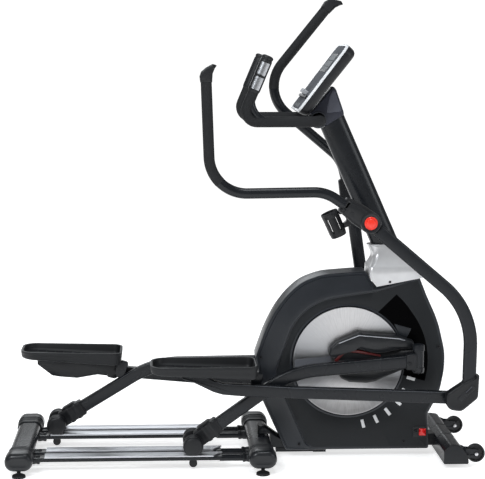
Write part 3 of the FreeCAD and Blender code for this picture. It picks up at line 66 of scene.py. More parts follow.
def loopOf(outline, arcSteps=8):
    # a closed outline of (x, z, corner radius); each corner is a circle arc tangent to both its sides
    points = []
    total = len(outline)
    for i, corner in enumerate(outline):
        here = np.array(corner[:2], float)
        before = np.array(outline[i - 1][:2], float) - here
        after = np.array(outline[(i + 1) % total][:2], float) - here
        radius = corner[2] if len(corner) > 2 else 0.0
        lengths = np.linalg.norm(before), np.linalg.norm(after)
        before = before / lengths[0]
        after = after / lengths[1]
        half = math.acos(np.clip(before @ after, -1, 1)) / 2
        if radius < 0.05 or half > 1.565:
            points.append(here[None, :])
            continue
        trim = min(radius / math.tan(half), 0.49 * min(lengths))
        radius = trim * math.tan(half)
        middle = (before + after) / np.linalg.norm(before + after)
        centre = here + middle * radius / math.sin(half)
        start = here + before * trim - centre
        stop = here + after * trim - centre
        sweep = math.atan2(start[0] * stop[1] - start[1] * stop[0], start @ stop)
        turn = np.linspace(0, sweep, arcSteps + 1)[:, None]
        side = np.array([-start[1], start[0]])
        points.append(centre + start * np.cos(turn) + side * np.sin(turn))
    return np.concatenate(points)


def spread(loop, step):
    # a closed loop with points no further apart than the step: each side divided evenly
    after = np.roll(loop, -1, axis=0)
    parts = []
    for a, b in zip(loop, after):
        count = max(1, int(np.ceil(np.linalg.norm(b - a) / step)))
        parts.append(a + (b - a) * (np.arange(count) / count)[:, None])
    return np.concatenate(parts)


def inset(loop, distance):
    # every point moved inwards by the distance, along the mean normal of its two sides
    area = np.sum(loop[:, 0] * np.roll(loop[:, 1], -1) - np.roll(loop[:, 0], -1) * loop[:, 1])
    ahead = np.roll(loop, -1, axis=0) - loop
    ahead /= np.linalg.norm(ahead, axis=1)[:, None] + 1e-12
    behind = np.roll(ahead, 1, axis=0)
    normal = np.stack([-(ahead + behind)[:, 1], (ahead + behind)[:, 0]], axis=1) * np.sign(area)
    length = np.linalg.norm(normal, axis=1)[:, None] + 1e-12
    stretch = np.clip(2.0 / length, 1.0, 1.6)
    return loop + normal / length * distance * stretch


def routeOf(points, step=12.0):
    # an open route in space through (x, y, z, corner radius), with tangent arcs at its corners
    flat = [np.array(p[:3], float) for p in points]
    made = [flat[0][None, :]]
    for i in range(1, len(flat) - 1):
        before = flat[i - 1] - flat[i]
        after = flat[i + 1] - flat[i]
        lengths = np.linalg.norm(before), np.linalg.norm(after)
        before /= lengths[0]
        after /= lengths[1]
        half = math.acos(np.clip(before @ after, -1, 1)) / 2
        trim = min(points[i][3] / math.tan(half), 0.49 * min(lengths))
        radius = trim * math.tan(half)
        middle = (before + after) / np.linalg.norm(before + after)
        centre = flat[i] + middle * radius / math.sin(half)
        start = flat[i] + before * trim - centre
        stop = flat[i] + after * trim - centre
        full = math.acos(np.clip(start @ stop / radius ** 2, -1, 1))
        steps = max(3, int(full * radius / step) + 1)
        turn = np.linspace(0, 1, steps)[:, None] * full
        side = (stop - start * math.cos(full)) / math.sin(full)
        made.append(centre + start * np.cos(turn) + side * np.sin(turn))
    made.append(flat[-1][None, :])
    return np.concatenate(made)


def gridFaces(rows, cols, closeRows=False, closeCols=True):
    # quads between neighbouring rings of a grid
    i = np.arange(rows if closeRows else rows - 1)
    j = np.arange(cols if closeCols else cols - 1)
    a, b = np.meshgrid(i, j, indexing="ij")
    a2 = (a + 1) % rows
    b2 = (b + 1) % cols
    return np.stack([a * cols + b, a * cols + b2, a2 * cols + b2, a2 * cols + b], axis=-1).reshape(-1, 4)


def shellOf(rings, caps=True, closeRows=False):
    # rings of equal length joined one to the next, with a flat cap on each end
    grid = np.stack(rings)
    rows, cols = grid.shape[:2]
    faces = gridFaces(rows, cols, closeRows).tolist()
    if caps and not closeRows:
        faces.append(list(range(cols))[::-1])
        faces.append([(rows - 1) * cols + k for k in range(cols)])
    return grid.reshape(-1, 3), faces


def atDepth(loop, y):
    # a loop drawn in the side view, stood at one distance from the centre plane
    return np.stack([loop[:, 0], np.full(len(loop), float(y)), loop[:, 1]], axis=1)


def slabOf(outline, low, high, rounding=2.0, steps=3, step=25.0):
    # a plate between two depths whose two rims are quarter circles
    loop = spread(loopOf(outline), step)
    turn = np.linspace(0, np.pi / 2, steps + 1)
    rings = [atDepth(inset(loop, rounding * (1 - math.sin(t))), low + rounding * (1 - math.cos(t))) for t in turn]
    rings += [atDepth(inset(loop, rounding * (1 - math.sin(t))), high - rounding * (1 - math.cos(t)))
              for t in turn[::-1]]
    return shellOf(rings)


def layered(loop, profile, lane=0.0, sign=1):
    # a loop drawn in by each row's second number and stood at its first
    return shellOf([atDepth(inset(loop, back + 0.01), lane + depth * sign) for depth, back in profile])


def latheOf(profile, steps=64, centre=(0, 0, 0), sign=1, axis="Y"):
    # a closed (radius, distance along) profile turned about an axis through the centre
    turn = np.arange(steps) * 2 * np.pi / steps
    rings = []
    for radius, along in profile:
        u = radius * np.cos(turn)
        v = radius * np.sin(turn)
        w = np.full(steps, float(along) * sign)
        rings.append(np.stack({"Y": [u, w, v], "Z": [u, v, w], "X": [w, u, v]}[axis], axis=1))
    return shellOf([ring + np.array(centre, float) for ring in rings],
                   closeRows=profile[0][0] > 0.5 and profile[-1][0] > 0.5)


def sweepOf(route, section, up=(0, 0, 1), scale=None):
    # a closed (side, up) section carried along a route, kept square to it
    ahead = np.gradient(route, axis=0)
    ahead /= np.linalg.norm(ahead, axis=1)[:, None]
    side = np.cross(ahead, np.array(up, float))
    side /= np.linalg.norm(side, axis=1)[:, None] + 1e-12
    top = np.cross(side, ahead)
    size = np.ones(len(route)) if scale is None else np.array(scale, float)
    rings = (route[:, None, :] + section[None, :, 0, None] * side[:, None, :] * size[:, None, None]
             + section[None, :, 1, None] * top[:, None, :] * size[:, None, None])
    return shellOf(list(rings))


def alongX(box, x, y, z):
    # a (y, z) section stood at one x
    return np.stack([np.full(len(box), float(x)), y + box[:, 0], z + box[:, 1]], axis=1)


def alongY(box, x, y, z):
    # an (x, z) section stood at one y
    return np.stack([x + box[:, 0], np.full(len(box), float(y)), z + box[:, 1]], axis=1)


def circle(radius, steps=32):
    # points at equal angles round a circle
    turn = np.arange(steps) * 2 * np.pi / steps
    return np.stack([radius * np.cos(turn), radius * np.sin(turn)], axis=1)


def roundBox(width, height, corner, steps=5):
    # a rectangle about the origin with round corners
    w, h = width / 2, height / 2
    return loopOf([(-w, -h, corner), (w, -h, corner), (w, h, corner), (-w, h, corner)], steps)


def joined(*shapes):
    # several shapes as one list of points and faces
    points = []
    faces = []
    count = 0
    for shapePoints, shapeFaces in shapes:
        points.append(shapePoints)
        faces += [[k + count for k in face] for face in shapeFaces]
        count += len(shapePoints)
    return np.concatenate(points), faces


def turned(shape, pivot, degrees, axis="Y"):
    # a shape turned about a line through the pivot, clockwise as seen from the near side
    points, faces = shape
    angle = math.radians(degrees)
    c, s = math.cos(angle), math.sin(angle)
    rotation = {"Y": [[c, 0, s], [0, 1, 0], [-s, 0, c]], "X": [[1, 0, 0], [0, c, -s], [0, s, c]],
                "Z": [[c, -s, 0], [s, c, 0], [0, 0, 1]]}[axis]
    middle = np.array(pivot, float)
    return (points - middle) @ np.array(rotation).T + middle, faces


def moved(shape, shift):
    # a shape with one shift added to every point
    return shape[0] + np.array(shift, float), shape[1]


def flipped(shape):
    # the same shape on the other side of the centre plane
    return shape[0] * np.array([1, -1, 1]), shape[1]


def makePiece(name, shape, body, material, stands=(), crease=38.0):
    # the points become a mesh with its faces outwards and its sharp edges marked by angle
    points, faces = shape
    mesh = bpy.data.meshes.new(name)
    mesh.from_pydata((points * 0.001).tolist(), [], faces)
    work = bmesh.new()
    work.from_mesh(mesh)
    bmesh.ops.remove_doubles(work, verts=work.verts, dist=1e-5)
    bmesh.ops.recalc_face_normals(work, faces=work.faces)
    work.to_mesh(mesh)
    work.free()
    finishMesh(mesh, crease)
    piece = bpy.data.objects.new(name, mesh)
    bpy.context.scene.collection.objects.link(piece)
    mesh.materials.append(material)
    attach(piece, body)
    if stands:
        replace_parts(piece, *stands)
    return piece


def finishMesh(mesh, crease):
    # smooth faces, with edges bent by more than the angle left sharp
    mesh.shade_smooth()
    mesh.set_sharp_from_angle(angle=math.radians(crease))


def bodyOf(node):
    for body, nodes in record["behaviour"]["bodies"].items():
        if node in nodes:
            return body
    return "root"


def cleanCopy(node, material, crease=30.0):
    # a CAD node's own shape with its doubles merged, smooth where it is round
    mesh = frame["nodes"][node].data.copy()
    mesh.materials.clear()
    mesh.materials.append(material)
    work = bmesh.new()
    work.from_mesh(mesh)
    bmesh.ops.remove_doubles(work, verts=work.verts, dist=2e-6)
    work.to_mesh(mesh)
    work.free()
    finishMesh(mesh, crease)
    piece = bpy.data.objects.new(node + "_body", mesh)
    bpy.context.scene.collection.objects.link(piece)
    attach(piece, bodyOf(node))
    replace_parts(piece, node)
    return piece


slotOf = {row["node"]: row["material_slot"] for row in record["subparts"]}


# shared effects, each a node group built once

def newGroup(name, inputs, outputs):
    group = bpy.data.node_groups.new(name, "ShaderNodeTree")
    for label, value in inputs.items():
        socket = group.interface.new_socket(label, in_out="INPUT", socket_type="NodeSocketFloat")
        socket.default_value = value
    for label in outputs:
        group.interface.new_socket(label, in_out="OUTPUT", socket_type="NodeSocketFloat")
    return group, group.nodes.new("NodeGroupInput"), group.nodes.new("NodeGroupOutput")


def addMath(tree, operation, a, b=None):
    node = tree.nodes.new("ShaderNodeMath")
    node.operation = operation
    for index, value in enumerate((a, b)):
        if value is None:
            continue
        if isinstance(value, (int, float)):
            node.inputs[index].default_value = value
        else:
            tree.links.new(value, node.inputs[index])
    return node.outputs[0]


def addRange(tree, value, low, high, outLow=0.0, outHigh=1.0):
    node = tree.nodes.new("ShaderNodeMapRange")
    tree.links.new(value, node.inputs[0])
    node.inputs[1].default_value = low
    node.inputs[2].default_value = high
    node.inputs[3].default_value = outLow
    node.inputs[4].default_value = outHigh
    return node.outputs[0]


def addNoise(tree, scale, detail, stretch=(1, 1, 1)):
    # noise on the object's own coordinates, stretched along one direction where the finish is brushed
    place = tree.nodes.new("ShaderNodeTexCoord")
    mapping = tree.nodes.new("ShaderNodeMapping")
    mapping.inputs["Scale"].default_value = stretch
    tree.links.new(place.outputs["Object"], mapping.inputs[0])
    noise = tree.nodes.new("ShaderNodeTexNoise")
    tree.links.new(mapping.outputs[0], noise.inputs["Vector"])
    noise.inputs["Detail"].default_value = detail
    if isinstance(scale, (int, float)):
        noise.inputs["Scale"].default_value = scale
    else:
        tree.links.new(scale, noise.inputs["Scale"])
    return noise.outputs["Fac"]


def makeGrain():
    # fine moulded grain over slow cloudiness: Height for the bump, Cloud for colour and roughness
    group, inside, outside = newGroup("MouldedGrain", {"Grain Scale": 900.0, "Cloud Scale": 9.0}, ["Height", "Cloud"])
    fine = addNoise(group, inside.outputs["Grain Scale"], 3.0)
    slow = addNoise(group, inside.outputs["Cloud Scale"], 4.0)
    group.links.new(fine, outside.inputs["Height"])
    group.links.new(addRange(group, slow, 0.3, 0.7), outside.inputs["Cloud"])
    return group


def makeWear():
    # convex edges rubbed lighter, broken up by noise, and a little dust where the surface faces up
    group, inside, outside = newGroup("EdgeWear", {"Edge": 1.0, "Dust": 1.0}, ["Wear", "Dust"])
    geometry = group.nodes.new("ShaderNodeNewGeometry")
    edge = addRange(group, geometry.outputs["Pointiness"], 0.515, 0.60)
    patch = addRange(group, addNoise(group, 35.0, 5.0), 0.35, 0.62)
    wear = addMath(group, "MULTIPLY", addMath(group, "MULTIPLY", edge, patch), inside.outputs["Edge"])
    split = group.nodes.new("ShaderNodeSeparateXYZ")
    group.links.new(geometry.outputs["Normal"], split.inputs[0])
    facing = addRange(group, split.outputs[2], 0.55, 1.0)
    speck = addRange(group, addNoise(group, 60.0, 6.0), 0.42, 0.75)
    dust = addMath(group, "MULTIPLY", addMath(group, "MULTIPLY", facing, speck), inside.outputs["Dust"])
    group.links.new(wear, outside.inputs["Wear"])
    group.links.new(dust, outside.inputs["Dust"])
    return group


def makeBrush(name, stretch):
    # long fine scratches: noise squeezed across one direction
    group, inside, outside = newGroup(name, {"Scale": 60.0}, ["Streak"])
    group.links.new(addNoise(group, inside.outputs["Scale"], 6.0, stretch), outside.inputs["Streak"])
    return group


def makeSpin(name, centre):
    # fine scratches that run round a centre: noise read by distance from it and by a little of the angle; a second
    # output is a painted reflection, a blend that rises and falls twice round the centre
    group, _, outside = newGroup(name, {"Scale": 1.0}, ["Streak", "Sheen"])
    place = group.nodes.new("ShaderNodeTexCoord")
    shift = group.nodes.new("ShaderNodeMapping")
    shift.inputs["Location"].default_value = (-centre[0], 0, -centre[2])
    group.links.new(place.outputs["Object"], shift.inputs[0])
    split = group.nodes.new("ShaderNodeSeparateXYZ")
    group.links.new(shift.outputs[0], split.inputs[0])
    x, z = split.outputs[0], split.outputs[2]
    across = addMath(group, "MULTIPLY", x, x)
    upward = addMath(group, "MULTIPLY", z, z)
    reach = addMath(group, "SQRT", addMath(group, "ADD", across, upward))
    angle = addMath(group, "ARCTAN2", z, x)
    join = group.nodes.new("ShaderNodeCombineXYZ")
    group.links.new(addMath(group, "MULTIPLY", reach, 2.5), join.inputs[0])
    group.links.new(addMath(group, "MULTIPLY", angle, 4.0), join.inputs[1])
    noise = group.nodes.new("ShaderNodeTexNoise")
    noise.inputs["Detail"].default_value = 8.0
    noise.inputs["Scale"].default_value = 9.0
    group.links.new(join.outputs[0], noise.inputs["Vector"])
    group.links.new(noise.outputs["Fac"], outside.inputs["Streak"])
    # painted reflection: lighter and darker lobes twice round the centre, as a turned disc reflects the lamps
    paintedReflectionWaves = addMath(group, "COSINE", addMath(group, "MULTIPLY", angle, 2.0))
    group.links.new(addRange(group, paintedReflectionWaves, -1.0, 1.0), outside.inputs["Sheen"])
    return group


grainGroup = makeGrain()
wearGroup = makeWear()
brushAlong = makeBrush("BrushedAlong", (0.03, 1.0, 1.0))
brushCross = makeBrush("BrushedCross", (1.0, 0.03, 1.0))


def placeGroup(tree, group, **values):
    # a shared effect placed in one material with its own values
    node = tree.nodes.new("ShaderNodeGroup")
    node.node_tree = group
    for label, value in values.items():
        node.inputs[label.replace("_", " ")].default_value = value
    return node


def mixColour(tree, factor, a, b):
    # two colours, or two colour sockets, blended by one factor
    node = tree.nodes.new("ShaderNodeMix")
    node.data_type = "RGBA"
    tree.links.new(factor, node.inputs[0])
    for index, value in ((6, a), (7, b)):
        if isinstance(value, tuple):
            node.inputs[index].default_value = value + (1.0,) if len(value) == 3 else value
        else:
            tree.links.new(value, node.inputs[index])
    return node.outputs[2]


def shade(colour, factor):
    return tuple(min(1.0, channel * factor) for channel in colour)


def plainMaterial(name, look):
    # colour clouded between two shades, wear on the edges, dust on top, grain in the bump and the roughness
    material = bpy.data.materials.new(name)
    material.use_nodes = True
    tree = material.node_tree
    shader = tree.nodes["Principled BSDF"]
    base = look["colour"]
    grain = placeGroup(tree, grainGroup, Grain_Scale=look.get("grain", 900.0), Cloud_Scale=look.get("cloud", 7.0))
    wear = placeGroup(tree, wearGroup, Edge=look.get("wear", 0.6), Dust=look.get("dust", 0.25))
    colour = mixColour(tree, grain.outputs["Cloud"], shade(base, 0.88), shade(base, 1.12))
    colour = mixColour(tree, wear.outputs["Wear"], colour, look.get("worn", shade(base, 2.2)))
    colour = mixColour(tree, wear.outputs["Dust"], colour, look.get("dustColour", shade(base, 3.0)))
    tree.links.new(colour, shader.inputs["Base Color"])
    rough = look["rough"]
    uneven = look.get("uneven", 0.06)
    roughness = addRange(tree, grain.outputs["Cloud"], 0.0, 1.0, rough - uneven, rough + uneven)
    tree.links.new(roughness, shader.inputs["Roughness"])
    shader.inputs["Metallic"].default_value = look.get("metal", 0.0)
    shader.inputs["Specular IOR Level"].default_value = look.get("specular", 0.3)
    shader.inputs["Coat Weight"].default_value = look.get("coat", 0.0)
    shader.inputs["Coat Roughness"].default_value = look.get("coatRough", 0.1)
    bump = tree.nodes.new("ShaderNodeBump")
    bump.inputs["Strength"].default_value = look.get("bump", 0.12)
    bump.inputs["Distance"].default_value = 0.0006
    tree.links.new(grain.outputs["Height"], bump.inputs["Height"])
    tree.links.new(bump.outputs[0], shader.inputs["Normal"])
    return material


def brushedMaterial(name, look, group):
    # metal whose colour, roughness and bump all follow the same fine scratches
    material = bpy.data.materials.new(name)
    material.use_nodes = True
    tree = material.node_tree
    shader = tree.nodes["Principled BSDF"]
    base = look["colour"]
    brush = placeGroup(tree, group, Scale=look.get("scale", 60.0))
    wear = placeGroup(tree, wearGroup, Edge=look.get("wear", 0.3), Dust=look.get("dust", 0.1))
    lines = addRange(tree, brush.outputs["Streak"], 0.3, 0.7)
    colour = mixColour(tree, lines, shade(base, 0.86), shade(base, 1.1))
    # painted reflection: the colour blended round the centre toward a darker, cooler shade by angle
    if "sheen" in look:
        colour = mixColour(tree, brush.outputs["Sheen"], colour, look["sheen"])
    colour = mixColour(tree, wear.outputs["Dust"], colour, (0.4, 0.39, 0.38))
    tree.links.new(colour, shader.inputs["Base Color"])
    rough = look["rough"]
    tree.links.new(addRange(tree, lines, 0.0, 1.0, rough - 0.07, rough + 0.07), shader.inputs["Roughness"])
    shader.inputs["Metallic"].default_value = look.get("metal", 1.0)
    shader.inputs["Coat Weight"].default_value = look.get("coat", 0.0)
    bump = tree.nodes.new("ShaderNodeBump")
    bump.inputs["Strength"].default_value = look.get("bump", 0.1)
    bump.inputs["Distance"].default_value = 0.0004
    tree.links.new(brush.outputs["Streak"], bump.inputs["Height"])
    tree.links.new(bump.outputs[0], shader.inputs["Normal"])
    return material


crankCentre = joints["crank_turn"]["pos_m"]
discSpin = makeSpin("TurnedDisc", crankCentre)
flySpin = makeSpin("TurnedFlywheel", joints["flywheel_turn"]["pos_m"])

looks = {
    "frame_black": dict(colour=(0.0085, 0.0098, 0.0122), rough=0.27, grain=1500, bump=0.10, wear=0.2, dust=0.0,
                        specular=0.28),
    "cap_plastic": dict(colour=(0.0090, 0.0100, 0.0120), rough=0.42, grain=1100, bump=0.16, wear=0.5, dust=0.0),
    "collar_silver": dict(colour=(0.66, 0.66, 0.67), rough=0.34, metal=0.5, grain=1800, bump=0.04, wear=0.0,
                          dust=0.0, coat=0.15, coatRough=0.3),
    "black_plastic": dict(colour=(0.0095, 0.0100, 0.0115), rough=0.42, grain=1000, bump=0.16, wear=0.5, dust=0.10),
    "leaf_plastic": dict(colour=(0.0100, 0.0110, 0.0130), rough=0.33, grain=1200, bump=0.08, wear=0.4, dust=0.0,
                         coat=0.15),
    "pedal_plastic": dict(colour=(0.0080, 0.0088, 0.0102), rough=0.48, grain=800, bump=0.22, wear=0.5, dust=0.05),
    "foam_black": dict(colour=(0.0095, 0.0100, 0.0112), rough=0.72, grain=420, bump=0.5, wear=0.2, dust=0.12),
    "console_grey": dict(colour=(0.1100, 0.1150, 0.1250), rough=0.45, grain=1400, bump=0.04, wear=0.0,
                         dust=0.05, specular=0.0),
    "housing_grey": dict(colour=(0.0135, 0.0160, 0.0205), rough=0.36, grain=1300, bump=0.12, wear=0.4,
                         dust=0.08, coat=0.15, coatRough=0.35),
    "screw_black": dict(colour=(0.0120, 0.0120, 0.0130), rough=0.35, metal=0.6, wear=0.6),
    "belt_rubber": dict(colour=(0.02, 0.02, 0.02), rough=0.7, grain=500, bump=0.3),
    "axle_steel": dict(colour=(0.42, 0.42, 0.44), rough=0.30, metal=1.0, wear=0.2),
    "dark_red": dict(colour=(0.0850, 0.0080, 0.0080), rough=0.35, coat=0.4, wear=0.3),
    "switch_red": dict(colour=(0.78, 0.012, 0.012), rough=0.28, coat=0.6, wear=0.2, dust=0.05, worn=(0.9, 0.2, 0.2)),
    "button_grey": dict(colour=(0.16, 0.17, 0.18), rough=0.5, grain=1500, bump=0.1, dust=0.1),
    "foot_black": dict(colour=(0.0100, 0.0105, 0.0115), rough=0.6, grain=700, bump=0.25, dust=0.25),
    "tyre_black": dict(colour=(0.0100, 0.0105, 0.0115), rough=0.42, grain=1100, bump=0.15, wear=0.6, dust=0.2),
    "wheel_black": dict(colour=(0.0100, 0.0100, 0.0110), rough=0.45, grain=900, bump=0.2, dust=0.2),
    "cap_red": dict(colour=(0.80, 0.030, 0.014), rough=0.30, coat=0.5, wear=0.2, dust=0.04, worn=(0.9, 0.3, 0.25)),
}
finish = {name: plainMaterial(name, look) for name, look in looks.items()}
finish["track_silver"] = brushedMaterial("track_silver",
                                         dict(colour=(0.60, 0.61, 0.64), rough=0.42, scale=220, dust=0.1,
                                              bump=0.04), brushAlong)
finish["sensor_steel"] = brushedMaterial("sensor_steel", dict(colour=(0.42, 0.43, 0.45), rough=0.30, scale=160),
                                         brushCross)
# the disc's second colour is a painted reflection, blended in by angle round the axle
finish["disc_metal"] = brushedMaterial("disc_metal",
                                       dict(colour=(0.50, 0.495, 0.50), rough=0.36, sheen=(0.34, 0.345, 0.36),
                                            scale=1.0, dust=0.0), discSpin)
finish["flywheel_iron"] = brushedMaterial("flywheel_iron",
                                          dict(colour=(0.16, 0.16, 0.17), rough=0.4, scale=1.0), flySpin)


def screenMaterial():
    # pale grey display with fine unevenness in its gloss
    material = bpy.data.materials.new("screen_glass")
    material.use_nodes = True
    tree = material.node_tree
    shader = tree.nodes["Principled BSDF"]
    grain = placeGroup(tree, grainGroup, Grain_Scale=400.0, Cloud_Scale=14.0)
    colour = mixColour(tree, grain.outputs["Cloud"], (0.20, 0.21, 0.22), (0.23, 0.24, 0.25))
    tree.links.new(colour, shader.inputs["Base Color"])
    tree.links.new(addRange(tree, grain.outputs["Cloud"], 0.0, 1.0, 0.06, 0.12), shader.inputs["Roughness"])
    shader.inputs["Specular IOR Level"].default_value = 0.0
    return material


finish["screen_glass"] = screenMaterial()
for node, piece in frame["nodes"].items():
    for index in range(max(1, len(piece.material_slots))):
        if index < len(piece.material_slots):
            piece.material_slots[index].material = finish[slotOf[node]]
        else:
            piece.data.materials.append(finish[slotOf[node]])
print("finishes:", len(finish))


# camera, floor and light

light = dict(world=0.26, floor=0.62, wall=1.1, key=190.0, fill=45.0, top=60.0, back=60.0)


def makeStage():
    view = dict(place=(-0.3424, -5.7713, 1.7435), yaw=2.21, pitch=7.173, lens=103.92, shift=(0.05506, -0.04822))
    camera = bpy.data.objects.new("Camera", bpy.data.cameras.new("Camera"))
    camera.location = view["place"]
    camera.rotation_euler = (math.radians(90 - view["pitch"]), 0, math.radians(-view["yaw"]))
    camera.data.sensor_width = 36.0
    camera.data.lens = view["lens"]
    camera.data.shift_x, camera.data.shift_y = view["shift"]
    camera.data.clip_end = 60.0
    bpy.context.scene.collection.objects.link(camera)
    bpy.context.scene.camera = camera

    floorMaterial = bpy.data.materials.new("paleFloor")
    floorMaterial.use_nodes = True
    tree = floorMaterial.node_tree
    shader = tree.nodes["Principled BSDF"]
    cloud = addRange(tree, addNoise(tree, 1.5, 3.0), 0.3, 0.7, 0.88, 0.90)
    join = tree.nodes.new("ShaderNodeCombineColor")
    for index in range(3):
        tree.links.new(cloud, join.inputs[index])
    tree.links.new(join.outputs[0], shader.inputs["Base Color"])
    shader.inputs["Roughness"].default_value = 0.8
    shader.inputs["Specular IOR Level"].default_value = 0.0
    shader.inputs["Emission Color"].default_value = (1, 1, 1, 1)
    shader.inputs["Emission Strength"].default_value = light["floor"]
    wallMaterial = bpy.data.materials.new("whiteWall")
    wallMaterial.use_nodes = True
    shader = wallMaterial.node_tree.nodes["Principled BSDF"]
    shader.inputs["Base Color"].default_value = (0, 0, 0, 1)
    shader.inputs["Specular IOR Level"].default_value = 0.0
    shader.inputs["Emission Color"].default_value = (1, 1, 1, 1)
    shader.inputs["Emission Strength"].default_value = light["wall"]
    sheets = (("Floor", floorMaterial, [(-14, -9, 0), (14, -9, 0), (14, 9, 0), (-14, 9, 0)]),
              ("Backdrop", wallMaterial, [(-14, 9, -0.5), (14, 9, -0.5), (14, 9, 9), (-14, 9, 9)]))
    for name, material, corners in sheets:
        mesh = bpy.data.meshes.new(name)
        mesh.from_pydata(corners, [], [(0, 1, 2, 3)])
        mesh.materials.append(material)
        sheet = bpy.data.objects.new(name, mesh)
        bpy.context.scene.collection.objects.link(sheet)
        sheet.visible_glossy = name == "Floor"

    world = bpy.data.worlds.new("Studio")
    bpy.context.scene.world = world
    world.use_nodes = True
    background = world.node_tree.nodes["Background"]
    background.inputs[0].default_value = (1.0, 1.0, 1.0, 1)
    background.inputs[1].default_value = light["world"]

    lamps = (("KeyLight", (-2.6, -4.2, 4.6), (0.1, 0, 0.7), light["key"], 2.2),
             ("FillLight", (4.2, -3.2, 2.4), (0.2, 0, 0.7), light["fill"], 2.0),
             ("TopLight", (0.2, -0.6, 5.0), (0.1, 0, 0.5), light["top"], 1.6),
             ("BackLight", (-1.0, 4.5, 3.2), (0.1, 0, 0.9), light["back"], 3.0))
    for name, place, target, power, size in lamps:
        lamp = bpy.data.lights.new(name, "AREA")
        lamp.energy = power
        lamp.color = (0.93, 0.97, 1.0)
        lamp.size = size
        holder = bpy.data.objects.new(name, lamp)
        holder.location = place
        aim = np.array(target, float) - np.array(place, float)
        across = math.hypot(aim[0], aim[1])
        holder.rotation_euler = (math.atan2(across, -aim[2]), 0, math.atan2(aim[1], aim[0]) - math.pi / 2)
        bpy.context.scene.collection.objects.link(holder)
    bpy.context.scene.view_settings.view_transform = "Standard"
    bpy.context.scene.view_settings.look = "None"


makeStage()
print("stage ready")


# places and turns shared by the linkage, read from the record, in millimetres

def pivotOf(joint):
    return np.array(joints[joint]["pos_m"]) * 1000


halfTurn = {"tube": 180 * ratios["right_tube_tilt"], "arm": 180 * ratios["right_arm_swing"]}
halfTurn["link"] = halfTurn["tube"] + 180 * ratios["right_pedal_link_tilt"]
armPivot = pivotOf("right_arm_swing")
crankPivot = pivotOf("crank_turn")


def leftArm(shape):
    return turned(flipped(shape), armPivot, halfTurn["arm"])


def leftTube(shape):
    return moved(turned(flipped(shape), pivotOf("right_tube_tilt"), halfTurn["tube"]),
                 pivotOf("left_tube_tilt") - pivotOf("right_tube_tilt"))


def leftLink(shape):
    return moved(turned(flipped(shape), pivotOf("right_pedal_link_tilt"), halfTurn["link"]),
                 pivotOf("left_pedal_link_tilt") - pivotOf("right_pedal_link_tilt"))


def leftCrank(shape):
    # mirrored, and half a turn of the crank away
    return turned(flipped(shape), crankPivot, 180)


def onFrame(name, shape, slot, stands=(), crease=38.0, material=None):
    # a piece that stays still with the frame
    makePiece(name, shape, "root", material or finish[slot], stands, crease)


def bothSides(name, shape, other, bodies, slot, stands=(), crease=38.0, material=None, alone=()):
    # the right-hand piece and its partner on the left; the right one alone replaces the nodes in alone
    for side, made in (("right", shape), ("left", other(shape))):
        body = bodies if bodies in ("root", "crank") else side + bodies
        nodes = [stand + side if stand.endswith("_") else stand for stand in stands]
        nodes += list(alone) if side == "right" else []
        makePiece(f"{name}_{side}", made, body, material or finish[slot], nodes, crease)


# housing

housingShape = dict(
    outline=[(172, 31, 8), (777, 31, 8), (771, 182, 10), (819, 272, 240), (838, 372, 370), (839, 446, 280),
             (807, 579, 480), (757, 688, 60), (727.5, 762, 3), (538.5, 726, 3), (500.5, 789.5, 3), (449, 787.5, 40),
             (320, 778, 245), (236, 748, 185), (178, 697, 340), (128, 632, 390), (84, 545, 580), (44.5, 432, 30),
             (76, 240, 60)],
    recess=[(122, 369, 60), (158, 470, 90), (192, 570, 200), (250, 638, 215), (330, 680, 255), (430, 696, 200),
            (547, 711, 60), (643, 738, 10), (716, 764, 4), (830, 770), (860, 446), (840, 20), (308, 20), (250, 60),
            (160, 270, 90)],
    half=78.0, floor=70.0, rim=9.0, slope=15.0, rays=1500)


def radiusAt(outline, rays, centre):
    # how far the outline is from the centre along each ray
    loop = spread(loopOf(outline, 14), 3.0)
    dx = loop[:, 0] - centre[0]
    dz = loop[:, 1] - centre[2]
    angle = np.arctan2(dz, dx)
    order = np.argsort(angle)
    return np.interp(rays, angle[order], np.hypot(dx, dz)[order], period=2 * np.pi)


